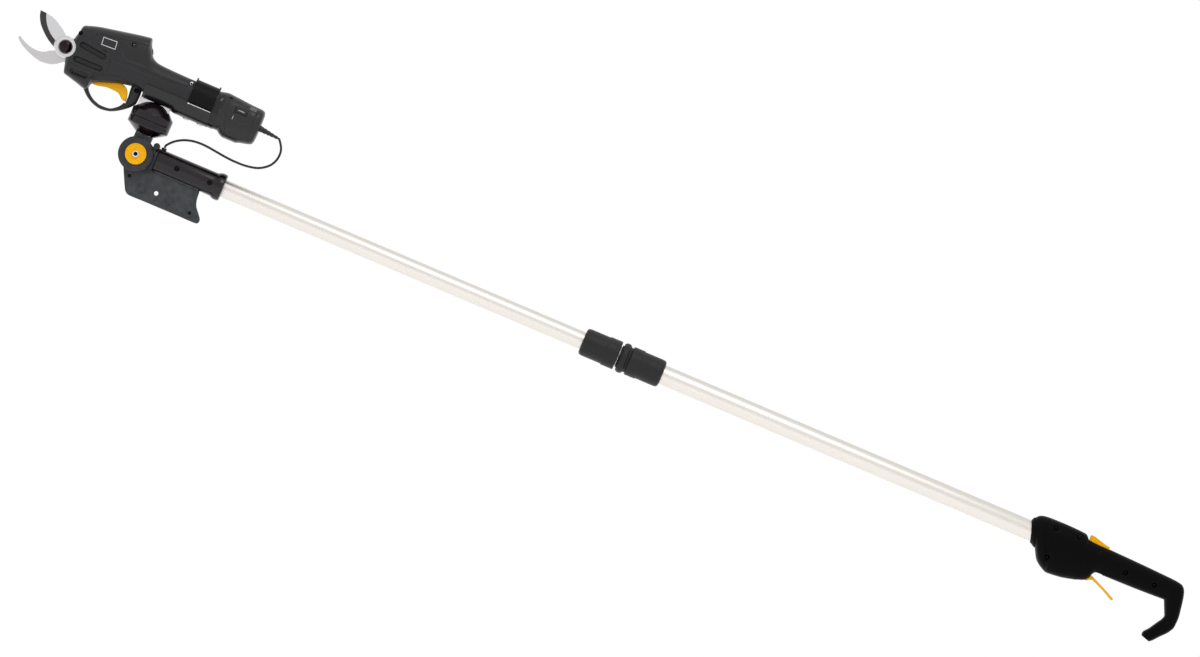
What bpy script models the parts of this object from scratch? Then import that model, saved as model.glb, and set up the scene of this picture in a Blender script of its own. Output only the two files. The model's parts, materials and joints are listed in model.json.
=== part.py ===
"""Cordless pole pruner: a battery pruner in a cradle on the swivel head of a telescopic pole.

Units are metres. The origin is on the pole's axis inside the hand grip, +X runs along the pole
towards the blades, +Z is up and +Y is the side that carries the screw heads. Outlines are drawn
in millimetres in the XZ plane and scaled by MM.
"""

import math

import bmesh
import bpy
from mathutils import Matrix, Vector

MM = 0.001

# Clearances: FIT between pieces that touch, RUN around pieces that turn or slide.
FIT = 0.3 * MM
RUN = 0.4 * MM
WALL = 2.6 * MM

# Telescopic pole.
TUBE_D = 26.0 * MM
TUBE_WALL = 1.0 * MM
OUTER_LENGTH = 677.0 * MM
INNER_LENGTH = 824.0 * MM
TUBE_OVERLAP = 197.0 * MM
TUBE_IN_HANDLE = 72.0 * MM
NOSE_X = 152.3 * MM

# Twist lock of the two tubes.
LOCK_D = 38.6 * MM
LOCK_BODY_LENGTH = 46.9 * MM
LOCK_RING_WIDTH = 10.0 * MM
LOCK_NUT_LENGTH = 49.7 * MM
LOCK_GROOVE = 2.8 * MM
LOCK_CHAMFER = 5.0 * MM
SPIGOT_WALL = 2.0 * MM

# Handle.
HANDLE_SCREW_SEAT = 9.0 * MM
TRIGGER_PIVOT = (66.0 * MM, -26.0 * MM)
TRIGGER_WIDTH = 12.0 * MM
LOCK_OFF_PIVOT = (50.5 * MM, 12.5 * MM)
LOCK_OFF_WIDTH = 10.0 * MM
HOOK_SEAT_X = -51.6 * MM
SHELL_BOSS_R = 4.5 * MM
SCREW_SHANK_R = 1.4 * MM
SCREW_HEAD_R = 2.8 * MM
SCREW_HEAD_H = 2.2 * MM

# Pole socket and hinge fork.
SOCKET_DEPTH = 92.6 * MM
SOCKET_WALL = 3.6 * MM
SOCKET_BEAD_R = 18.3 * MM
SOCKET_BEAD_WIDTH = 12.0 * MM
SOCKET_END_WALL = 1.7 * MM
FORK_BLOCK = 6.2 * MM
SPIGOT_LENGTH = 0.24 * SOCKET_DEPTH
WHEEL_R = 23.2 * MM
CHEEK = 6.6 * MM
TONGUE_WIDTH = 21.2 * MM
HUB_DISC_R = 14.0 * MM
HINGE_BOLT_R = 3.0 * MM
HINGE_DROP = 3.1 * MM
KNOB_R = 4.5 * MM
BRACKET_THICKNESS = 6.0 * MM

# Swivel drum, from the tilt hinge upwards.
DRUM_R = 28.0 * MM
DRUM_FOOT_R = 13.0 * MM
DRUM_FOOT = 4.9 * MM
DRUM_LOWER_CONE = 8.6 * MM
DRUM_LOWER_SIDE = 9.7 * MM
DRUM_UPPER_SIDE = 9.6 * MM
DRUM_UPPER_CONE = 10.3 * MM
DRUM_DOME = 4.9 * MM
NECK_WIDTH = 23.4 * MM
SWIVEL_BOLT_R = 4.0 * MM

# Pruner.
GRIP_ABOVE_DRUM = 21.1 * MM
PIVOT_X = 138.8 * MM
BLADE_BOSS_R = 14.6 * MM
BLADE_BOLT_R = 4.0 * MM
BLADE_THICKNESS = 3.2 * MM
COUNTER_THICKNESS = 4.0 * MM
SECTOR_R = 37.0 * MM
SECTOR_PITCH_R = 34.0 * MM
SECTOR_TEETH = 72
PINION_TEETH = 10
TOOTH_HEIGHT = 1.6 * MM
TOOTH_WIDTH = 1.0 * MM
GEARBOX_R = 12.9 * MM
MOTOR_R = 12.4 * MM
FINGER_TRIGGER_WIDTH = 13.0 * MM
BUTTON_R = 4.0 * MM
CELL_R = 9.15 * MM
CELL_LENGTH = 50.0 * MM
BOARD_THICKNESS = 1.6 * MM
BOARD_WIDTH = 27.0 * MM
LEAD_R = 1.55 * MM

# Values worked out from those above.
TUBE_R = TUBE_D / 2
INNER_R = TUBE_R - TUBE_WALL - FIT
INNER_BORE = INNER_R - TUBE_WALL
OUTER_START = NOSE_X - TUBE_IN_HANDLE
OUTER_END = OUTER_START + OUTER_LENGTH
INNER_START = OUTER_END - TUBE_OVERLAP
INNER_END = INNER_START + INNER_LENGTH
LOCK_R = LOCK_D / 2
SPIGOT_R = TUBE_R + SPIGOT_WALL
SOCKET_START = INNER_END - SOCKET_DEPTH
SOCKET_END = INNER_END + FIT + SOCKET_END_WALL
SOCKET_R = INNER_R + FIT + SOCKET_WALL
TONGUE_R = WHEEL_R - 3.2 * MM
TONGUE_HALF = TONGUE_WIDTH / 2
CHEEK_INNER = TONGUE_HALF + RUN
CHEEK_OUTER = CHEEK_INNER + CHEEK
HINGE_X = SOCKET_END + FIT + FORK_BLOCK + RUN + TONGUE_R
HINGE_Z = -HINGE_DROP
DRUM_BASE = WHEEL_R + DRUM_FOOT
DRUM_SEAM = DRUM_BASE + DRUM_LOWER_CONE + DRUM_LOWER_SIDE
DRUM_SHOULDER = DRUM_SEAM + FIT + DRUM_UPPER_SIDE
DRUM_TOP = DRUM_SHOULDER + DRUM_UPPER_CONE + DRUM_DOME
GRIP_Z = DRUM_TOP + GRIP_ABOVE_DRUM
PINION_R = SECTOR_PITCH_R * PINION_TEETH / SECTOR_TEETH
BLADE_FACE = FIT / 2 + BLADE_THICKNESS
DRIVE_Y = BLADE_FACE + TOOTH_HEIGHT / 2 + PINION_R
BOOT_TAIL = Vector((-133.4 * MM, 0.0, 0.8 * MM))
BOOT_END = Vector((-159.8 * MM, 0.0, -1.7 * MM))
GROMMET_TOP = SOCKET_R + 2.9 * MM
LEAD_SPLIT = 8

# Outlines and stations, in millimetres. A station is the section's top point (x, z), its bottom
# point (x, z), its half width and how square it is (2 is an ellipse).
HANDLE_STATIONS = [
    (152.4, 18.4, 137.6, -19.0, 18.6, 2.0),
    (148.5, 22.4, 133.8, -26.0, 20.5, 2.2),
    (141.8, 24.8, 130.2, -31.6, 22.0, 2.4),
    (130.0, 25.7, 121.6, -38.2, 23.0, 2.6),
    (112.0, 25.9, 111.0, -42.2, 23.0, 2.7),
    (95.0, 25.4, 95.0, -40.8, 22.4, 2.7),
    (84.0, 24.6, 84.0, -38.6, 21.5, 2.7),
    (80.4, 22.4, 80.4, -37.7, 20.8, 2.6),
    (77.4, 19.2, 77.2, -36.9, 20.2, 2.6),
    (70.0, 18.4, 69.6, -34.9, 19.2, 2.5),
    (63.4, 18.1, 62.8, -32.0, 18.5, 2.5),
    (59.6, 18.0, 58.6, -27.2, 18.1, 2.4),
    (57.2, 18.0, 56.4, -21.4, 17.8, 2.4),
    (53.0, 17.9, 52.0, -17.2, 17.4, 2.4),
    (30.0, 17.2, 30.0, -16.8, 16.8, 2.4),
    (0.0, 16.2, 0.0, -16.3, 16.4, 2.4),
    (-30.0, 14.9, -30.0, -15.3, 15.8, 2.4),
    (-46.0, 14.0, -42.0, -14.8, 15.2, 2.4),
    (-56.0, 12.4, -44.0, -17.5, 14.8, 2.4),
    (-61.5, 7.8, -45.5, -21.0, 14.4, 2.4),
    (-64.8, -1.0, -47.6, -25.5, 14.0, 2.5),
    (-67.8, -17.0, -49.8, -30.5, 13.6, 2.6),
    (-69.6, -31.5, -51.0, -34.6, 13.4, 2.7),
    (-69.2, -42.0, -49.8, -39.2, 13.2, 2.7),
    (-65.6, -50.4, -46.2, -45.0, 13.0, 2.7),
    (-56.0, -61.8, -39.6, -56.0, 12.6, 2.6),
    (-48.8, -70.2, -33.4, -65.4, 12.2, 2.5),
    (-46.0, -72.6, -33.9, -68.8, 10.4, 2.3),
]
# Rings of the nose collar: x, its slope with height, and how far it stands off the tube.
NOSE_RINGS = [
    (137.0, 0.0, 2.1), (145.6, 0.396, 2.1), (145.6, 0.396, 5.2), (151.2, 0.32, 0.9), (151.2, 0.32, 0.3),
    (137.0, 0.0, 0.3),
]
HANDLE_RIBS = [(86.3, 88.5), (104.3, 106.9)]
HANDLE_SCREWS = [(123.3, 16.0), (90.5, 17.2), (119.5, -23.3), (17.5, -1.8), (-23.0, -2.3)]
LEVER_OUTLINE = [
    (4.6, 3.6), (3.4, 12.0), (-0.6, 12.0), (-2.6, 6.2), (-7.6, 4.0), (-12.0, 2.4),
    (-26.0, -3.6), (-36.0, -8.2), (-44.0, -12.2), (-46.8, -13.6), (-47.6, -14.8), (-46.4, -16.2),
    (-44.0, -15.6), (-36.0, -11.4), (-26.0, -6.8), (-13.0, -2.0), (-9.0, -3.0), (-5.6, -5.2),
    (0.0, -5.2), (4.0, -3.4), (5.2, 0.0),
]
LOCK_OFF_OUTLINE = [
    (26.2, 7.6), (25.8, 13.2), (20.0, 12.9), (13.8, 11.4), (5.0, 9.0), (-1.6, 7.5), (-2.6, 4.6),
    (-2.6, -1.6), (0.0, -2.6), (2.6, -1.6), (5.0, 1.0), (18.0, 1.4), (26.0, 1.4),
]
BRACKET_OUTLINE = [
    (9.6, -20.4), (-3.5, -46.4), (-6.6, -50.6), (-11.5, -52.9), (-107.1, -52.9), (-109.5, -50.4),
    (-109.5, -46.0), (-104.0, -39.8), (-98.6, -33.0), (-95.6, -25.4), (-94.8, -14.0), (-31.0, -14.0),
    (-29.0, -12.4), (-18.0, -12.4),
]
BRACKET_HOLE = (-43.8, -36.9)

PRUNER_STATIONS = [
    (133.0, 13.4, 132.3, -17.7, 12.0, 2.6),
    (130.0, 24.0, 130.1, -25.2, 17.0, 2.8),
    (127.1, 34.5, 127.7, -32.1, 20.5, 3.0),
    (120.5, 37.3, 118.5, -34.9, 23.5, 3.0),
    (108.3, 41.1, 106.5, -38.1, 25.2, 3.0),
    (98.5, 43.2, 97.5, -40.7, 26.0, 3.0),
    (93.5, 44.2, 93.2, -41.2, 26.0, 3.0),
    (90.0, 44.9, 89.5, -31.2, 26.0, 3.0),
    (68.5, 49.2, 67.5, -21.1, 26.2, 3.0),
    (52.5, 52.2, 52.5, -16.2, 25.8, 3.0),
    (40.2, 54.0, 38.5, -13.7, 24.4, 3.0),
    (36.4, 45.6, 33.5, -13.2, 23.4, 2.8),
    (32.2, 37.8, 28.6, -13.6, 22.2, 2.7),
    (28.1, 31.2, 24.6, -15.0, 21.2, 2.6),
    (18.5, 26.9, 16.5, -16.8, 20.2, 2.6),
    (6.5, 25.9, 6.5, -17.8, 19.6, 2.6),
    (-28.5, 25.0, -28.5, -18.6, 19.0, 2.6),
    (-71.5, 25.2, -71.5, -18.6, 19.2, 2.6),
]
GUARD_STATIONS = [
    (99.0, -38.5, 93.4, -30.0, 6.0, 2.4),
    (94.2, -43.6, 90.2, -38.6, 6.2, 2.4),
    (86.8, -49.7, 85.0, -44.6, 6.4, 2.4),
    (77.0, -54.8, 76.5, -49.8, 6.5, 2.4),
    (66.5, -57.0, 66.5, -52.3, 6.6, 2.4),
    (56.5, -55.8, 57.0, -51.8, 6.6, 2.4),
    (47.5, -52.2, 49.5, -48.0, 6.8, 2.4),
    (37.5, -45.6, 43.0, -41.2, 7.2, 2.4),
    (30.0, -38.8, 40.3, -34.0, 7.8, 2.4),
    (25.4, -31.5, 39.3, -27.4, 8.4, 2.4),
    (24.9, -21.5, 39.7, -20.4, 8.8, 2.4),
    (25.6, -10.0, 40.6, -9.0, 9.0, 2.4),
]
CRADLE_STATIONS = [
    (22.6, 25.0, 22.6, -22.2, 21.8, 2.5),
    (18.5, 27.0, 18.5, -23.0, 22.4, 2.6),
    (-17.0, 27.0, -17.0, -23.0, 22.6, 2.6),
    (-24.0, 27.0, -24.0, -25.0, 22.6, 2.6),
    (-70.5, 27.0, -70.5, -25.0, 22.6, 2.6),
]
PACK_STATIONS = [
    (-71.8, 25.4, -71.8, -24.2, 21.6, 2.6),
    (-81.5, 27.5, -83.5, -23.4, 22.2, 2.7),
    (-89.5, 26.9, -89.0, -26.9, 23.6, 2.8),
    (-96.5, 26.4, -95.5, -29.2, 24.2, 2.8),
    (-111.5, 25.1, -111.5, -29.1, 24.2, 2.8),
    (-117.0, 24.7, -117.5, -27.0, 24.0, 2.8),
    (-128.5, 24.3, -128.5, -24.3, 23.0, 2.7),
    (-133.0, 22.5, -133.0, -22.0, 21.0, 2.5),
    (-134.5, 18.5, -134.5, -18.0, 18.0, 2.3),
]
PACK_ROOM = [
    (-77.6, 22.4, -77.6, -20.0, 19.4, 3.4),
    (-84.0, 24.6, -84.0, -21.2, 20.2, 3.4),
    (-96.0, 23.8, -96.0, -26.4, 21.4, 3.2),
    (-112.0, 22.6, -112.0, -26.2, 21.6, 3.2),
    (-130.4, 21.2, -130.4, -20.8, 19.8, 3.4),
]
FINGER_TRIGGER_OUTLINE = [
    (0.6, -1.8), (1.6, 0.0), (-7.0, 5.4), (-20.4, 10.2), (-33.0, 13.4), (-40.0, 11.8), (-44.8, 7.2),
    (-47.2, 0.6), (-47.9, -6.3), (-43.6, -6.0), (-35.6, 0.0), (-27.6, 1.2), (-17.6, 1.2), (-7.6, -1.2),
]
FINGER_TRIGGER_PIVOT = (87.6, -29.0)
CUTTING_EDGE = [(12.9, -6.9), (25.5, 0.2), (34.9, 7.9), (41.6, 15.0), (46.5, 23.8), (48.5, 31.2)]
CUTTING_BACK = [(38.7, 30.5), (28.7, 28.5), (14.0, 20.6), (5.0, 13.8)]
COUNTER_UPPER = [(17.4, -12.6), (24.2, -17.3), (34.5, -18.8), (46.1, -16.6), (56.6, -12.1), (60.2, -10.0)]
COUNTER_LOWER = [(61.9, -11.6), (60.6, -14.2), (53.7, -19.8), (40.5, -25.9), (25.1, -30.2), (12.0, -29.2),
                 (2.9, -25.3), (-4.5, -19.5)]
HOUSING_SCREWS = [(56.9, 36.4), (-31.2, 19.4), (127.0, 24.0), (31.5, -16.6)]
LEAD_ROUTE = [
    (1377.0, 28.4), (1371.0, 33.4), (1362.0, 38.2), (1350.0, 41.4), (1336.0, 42.0), (1320.0, 40.4),
    (1306.0, 38.7), (1292.0, 37.8), (1276.0, 38.4), (1260.3, 42.0), (1248.6, 49.9), (1242.8, 59.3),
    (1241.2, 69.0), (1243.2, 78.0),
]


def cleared_scene():
    """Remove what the scene holds, so that only the pruner is left in it."""
    for obj in list(bpy.data.objects):
        bpy.data.objects.remove(obj)


def srgb(hex_value):
    """A hex colour as linear RGBA."""
    channels = [int(hex_value[i : i + 2], 16) / 255 for i in (0, 2, 4)]
    linear = [c / 12.92 if c <= 0.04045 else ((c + 0.055) / 1.055) ** 2.4 for c in channels]
    return (*linear, 1.0)


def finish(name, hex_value, roughness, metallic=0.0):
    material = bpy.data.materials.new(name)
    material.use_nodes = True
    shader = material.node_tree.nodes["Principled BSDF"]
    shader.inputs["Base Color"].default_value = srgb(hex_value)
    shader.inputs["Roughness"].default_value = roughness
    shader.inputs["Metallic"].default_value = metallic
    material.diffuse_color = srgb(hex_value)
    return material


def frame(name, location, parent=None):
    """An empty that carries the pieces of one rigid body."""
    empty = bpy.data.objects.new(name, None)
    empty.empty_display_size = 0.02
    empty.location = location
    empty.parent = parent
    bpy.context.scene.collection.objects.link(empty)
    return empty


def piece(name, bm, material, parent, location=(0.0, 0.0, 0.0)):
    """A named object from a bmesh, shaded smooth with its sharp edges kept."""
    bmesh.ops.recalc_face_normals(bm, faces=bm.faces)
    mesh = bpy.data.meshes.new(name)
    bm.to_mesh(mesh)
    bm.free()
    mesh.shade_smooth()
    mesh.set_sharp_from_angle(angle=math.radians(35))
    obj = bpy.data.objects.new(name, mesh)
    obj.location = location
    obj.parent = parent
    if material:
        mesh.materials.append(material)
    bpy.context.scene.collection.objects.link(obj)
    return obj


def tool(name, bm, parent, location=(0.0, 0.0, 0.0)):
    """A hidden shape that cuts or joins another."""
    obj = piece(name, bm, None, parent, location)
    obj.hide_render = True
    obj.display_type = "WIRE"
    return obj


def boolean(obj, other, operation):
    modifier = obj.modifiers.new(other.name, "BOOLEAN")
    modifier.operation = operation
    modifier.object = other
    modifier.solver = "EXACT"


def cut(obj, *tools):
    for other in tools:
        boolean(obj, other, "DIFFERENCE")


def join(obj, *tools):
    for other in tools:
        boolean(obj, other, "UNION")


def scaled(points, dx=0.0, dz=0.0):
    return [(x * MM + dx, z * MM + dz) for x, z in points]


def prism(outline, low, high):
    """An outline in the XZ plane, extruded along Y from low to high."""
    bm = bmesh.new()
    near = [bm.verts.new((x, low, z)) for x, z in outline]
    far = [bm.verts.new((x, high, z)) for x, z in outline]
    bm.faces.new(near)
    bm.faces.new(reversed(far))
    for i, vert in enumerate(near):
        j = (i + 1) % len(near)
        bm.faces.new((vert, near[j], far[j], far[i]))
    return bm


def block(x, y, z):
    """A box from its low and high value along each axis."""
    return prism([(x[0], z[0]), (x[1], z[0]), (x[1], z[1]), (x[0], z[1])], y[0], y[1])


def lofted(rings):
    """A closed skin over rings of equally many points, with flat ends."""
    bm = bmesh.new()
    made = [[bm.verts.new(p) for p in ring] for ring in rings]
    for first, second in zip(made, made[1:]):
        for i, vert in enumerate(first):
            j = (i + 1) % len(first)
            bm.faces.new((vert, first[j], second[j], second[i]))
    bm.faces.new(reversed(made[0]))
    bm.faces.new(made[-1])
    bmesh.ops.triangulate(bm, faces=bm.faces)
    return bm


def axis_turn(axis):
    """The rotation that takes +Z to the named axis."""
    return {
        "X": Matrix.Rotation(math.radians(90), 4, "Y"),
        "Y": Matrix.Rotation(math.radians(-90), 4, "X"),
        "Z": Matrix.Identity(4),
    }[axis]


def circle_angles(steps):
    return [2 * math.pi * (k + 0.5) / steps for k in range(steps)]


def skinned(rings, round_trip):
    """A mesh over rings of points. A ring of one point is a tip, and a round trip joins the ends."""
    bm = bmesh.new()
    made = [[bm.verts.new(p) for p in ring] for ring in rings]
    pairs = list(zip(made, made[1:]))
    if round_trip:
        pairs.append((made[-1], made[0]))
    for first, second in pairs:
        steps = max(len(first), len(second))
        if steps == 1:
            continue
        for k in range(steps):
            j = (k + 1) % steps
            if len(first) == 1:
                bm.faces.new((first[0], second[j], second[k]))
            elif len(second) == 1:
                bm.faces.new((first[k], first[j], second[0]))
            else:
                bm.faces.new((first[k], first[j], second[j], second[k]))
    return bm


def turned(profile, axis="X", centre=(0.0, 0.0, 0.0), steps=24):
    """A turned solid from (distance along the axis, radius) points.

    A profile that starts and ends on the axis is solid there. One that starts and ends off it
    is a ring or a cup, whose last point meets its first.
    """
    rings = []
    for along, radius in profile:
        if radius <= 0.0:
            rings.append([(0.0, 0.0, along)])
        else:
            circle = circle_angles(steps)
            rings.append([(radius * math.cos(a), radius * math.sin(a), along) for a in circle])
    bm = skinned(rings, profile[0][1] > 0.0 and profile[-1][1] > 0.0)
    matrix = Matrix.Translation(centre) @ axis_turn(axis)
    bmesh.ops.transform(bm, matrix=matrix, verts=bm.verts)
    return bm


def rod(axis, low, high, radius, centre=(0.0, 0.0, 0.0), steps=20):
    return turned([(low, 0.0), (low, radius), (high, radius), (high, 0.0)], axis, centre, steps)


def section(station, sides, shrink=0.0, back=0.0):
    """The ring of points of one station, drawn in by shrink and moved along X by -back."""
    px, pz, qx, qz = (v * MM for v in station[:4])
    half = station[4] * MM - shrink
    power = 2.0 / station[5]
    top, bottom = Vector((px - back, 0.0, pz)), Vector((qx - back, 0.0, qz))
    up = (top - bottom).normalized() * ((top - bottom).length / 2 - shrink)
    middle = (top + bottom) / 2
    ring = []
    for k in range(sides):
        angle = 2 * math.pi * (k + 0.5) / sides
        side, height = math.cos(angle), math.sin(angle)
        side = math.copysign(abs(side) ** power, side)
        height = math.copysign(abs(height) ** power, height)
        ring.append(middle + up * height + Vector((0.0, half * side, 0.0)))
    return ring


def body_of(stations, sides=24, shrink=0.0):
    return lofted([section(s, sides, shrink) for s in stations])


def arc(radius, start, end, steps, centre=(0.0, 0.0)):
    """Points on a circle in the XZ plane, from one angle in degrees to another."""
    angles = [math.radians(start + (end - start) * k / steps) for k in range(steps + 1)]
    return [(centre[0] + radius * math.cos(a), centre[1] + radius * math.sin(a)) for a in angles]


def screw(name, x, z, seat, tip, material, parent, head=SCREW_HEAD_R, shank=SCREW_SHANK_R):
    """A pan-head screw along Y with a drive recess: its head sits at seat and its end at tip."""
    profile = [
        (tip, 0.0), (tip, shank), (seat, shank), (seat, head), (seat + SCREW_HEAD_H * 0.7, head),
        (seat + SCREW_HEAD_H, head * 0.75), (seat + SCREW_HEAD_H, head * 0.4),
        (seat + SCREW_HEAD_H * 0.3, head * 0.4), (seat + SCREW_HEAD_H * 0.3, 0.0),
    ]
    return piece(name, turned(profile, "Y", (0, 0, 0), 12), material, parent, (x, 0.0, z))


def screw_room(name, x, z, seat, tip, outside, parent, head=SCREW_HEAD_R, shank=SCREW_SHANK_R):
    """The space that such a screw takes in a shell, open to the outside."""
    low = seat - FIT
    profile = [
        (tip - FIT, 0.0), (tip - FIT, shank + FIT), (low, shank + FIT), (low, head + FIT),
        (outside, head + FIT), (outside, 0.0),
    ]
    return tool(name, turned(profile, "Y", (x, 0.0, z), 12), parent)


def half_space(name, side, parent, reach=2.0):
    """A block that covers everything on the far side of the joint between two shells."""
    span = (FIT / 2 - reach, FIT / 2) if side > 0 else (-FIT / 2, reach - FIT / 2)
    return tool(name, block((-reach, reach), span, (-reach, reach)), parent)


def cavity_of(name, stations, parent, ribs, bosses, sides=12):
    """A hollow inside a lofted body that leaves out cross ribs and round bosses."""
    hollow = tool(name, body_of(stations, sides, WALL), parent)
    cut(hollow, *ribs, *bosses)
    return hollow


def make_finishes():
    return {
        "grip_black": finish("handle_nylon", "1a1a1b", 0.55),
        "lock_black": finish("lock_nylon", "2c2c2e", 0.5),
        "housing_grey": finish("housing_nylon", "3a3a3c", 0.5),
        "cap_grey": finish("cap_nylon", "353537", 0.5),
        "cradle_grey": finish("cradle_nylon", "252427", 0.5),
        "strap_black": finish("strap_nylon", "1c191b", 0.55),
        "drum_black": finish("gloss_black_nylon", "170f16", 0.15),
        "yellow": finish("yellow_nylon", "f8bb0b", 0.4),
        "pole": finish("pole_aluminium", "e6e2df", 0.35, 0.6),
        "steel": finish("blade_steel", "d4d4d4", 0.25, 1.0),
        "coated": finish("coated_steel", "505050", 0.4, 0.6),
        "bolt": finish("bright_bolt", "c8c8ca", 0.25, 1.0),
        "black_bolt": finish("black_bolt", "241c20", 0.3, 0.8),
        "wheel_grey": finish("cast_wheel", "44464a", 0.45, 0.3),
        "saddle_grey": finish("saddle_alloy", "b9b4b8", 0.4, 0.7),
        "lead": finish("lead_rubber", "1b1817", 0.4),
        "board": finish("board_laminate", "1f6b3a", 0.5),
        "cells": finish("cell_sleeve", "2f6fb5", 0.4),
        "bush": finish("bush_acetal", "d9d6cc", 0.5),
    }


def make_pole(looks, handle, extension):
    """The two tubes and the guide bush in the hidden end of the inner one."""
    tube = [
        (0.0, TUBE_R - TUBE_WALL), (0.0, TUBE_R), (OUTER_LENGTH, TUBE_R),
        (OUTER_LENGTH, TUBE_R - TUBE_WALL),
    ]
    piece("outer_tube", turned(tube), looks["pole"], handle, (OUTER_START, 0, 0))
    tube = [(0.0, INNER_BORE), (0.0, INNER_R), (INNER_LENGTH, INNER_R), (INNER_LENGTH, INNER_BORE)]
    piece("inner_tube", turned(tube), looks["pole"], extension)
    plug = INNER_BORE - FIT
    bush = [
        (-4.0 * MM, plug * 0.6), (-4.0 * MM, INNER_R), (-FIT, INNER_R), (-FIT, plug), (15 * MM, plug),
        (15 * MM, plug * 0.6),
    ]
    piece("guide_bush", turned(bush), looks["bush"], extension)


def make_twist_lock(looks, handle, lock):
    """Body, ring and collet on the outer tube, and the nut that squeezes the collet."""
    nut_x = LOCK_GROOVE * 2 + LOCK_RING_WIDTH + LOCK_BODY_LENGTH
    body_x = OUTER_END - nut_x - 23.0 * MM
    collet_x = OUTER_END + FIT - body_x
    bore = TUBE_R + FIT
    body = [
        (0.0, bore), (0.0, LOCK_R - LOCK_CHAMFER), (LOCK_CHAMFER, LOCK_R - 0.9 * MM),
        (LOCK_BODY_LENGTH * 0.66, LOCK_R - 0.9 * MM), (LOCK_BODY_LENGTH * 0.68, LOCK_R),
        (LOCK_BODY_LENGTH, LOCK_R), (LOCK_BODY_LENGTH, SPIGOT_R), (collet_x - 1.0 * MM, SPIGOT_R),
        (collet_x - 1.0 * MM, bore),
    ]
    piece("lock_body", turned(body), looks["lock_black"], handle, (body_x, 0, 0))
    ring_x = body_x + LOCK_BODY_LENGTH + LOCK_GROOVE
    ring = [
        (0.0, SPIGOT_R + FIT), (0.0, LOCK_R - 1.4 * MM), (LOCK_RING_WIDTH * 0.25, LOCK_R + 0.6 * MM),
        (LOCK_RING_WIDTH * 0.5, LOCK_R + 1.0 * MM), (LOCK_RING_WIDTH * 0.75, LOCK_R + 0.6 * MM),
        (LOCK_RING_WIDTH, LOCK_R - 1.4 * MM), (LOCK_RING_WIDTH, SPIGOT_R + FIT),
    ]
    piece("lock_ring", turned(ring), looks["lock_black"], handle, (ring_x, 0, 0))
    collet_length = LOCK_NUT_LENGTH - 23.0 * MM - 5.0 * MM
    collet = [
        (0.0, INNER_R + FIT), (0.0, SPIGOT_R - 0.2 * MM), (collet_length * 0.5, SPIGOT_R - 0.2 * MM),
        (collet_length, INNER_R + 1.4 * MM), (collet_length, INNER_R + FIT),
    ]
    piece("lock_collet", turned(collet), looks["bush"], handle, (body_x + collet_x, 0, 0))
    inside = SPIGOT_R + RUN
    narrow = INNER_R + RUN
    start = collet_x + collet_length * 0.5 - nut_x
    nut = [
        (0.0, inside), (0.0, LOCK_R), (LOCK_NUT_LENGTH * 0.34, LOCK_R),
        (LOCK_NUT_LENGTH * 0.36, LOCK_R - 0.9 * MM), (LOCK_NUT_LENGTH - LOCK_CHAMFER, LOCK_R - 0.9 * MM),
        (LOCK_NUT_LENGTH, LOCK_R - LOCK_CHAMFER), (LOCK_NUT_LENGTH, narrow),
        (LOCK_NUT_LENGTH - 3.0 * MM, narrow), (start + collet_length * 0.5 + 1.0 * MM, INNER_R + 2.2 * MM),
        (start, inside),
    ]
    piece("lock_nut", turned(nut), looks["lock_black"], lock, (0.0, 0.0, 0.0))
    return body_x + nut_x


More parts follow.
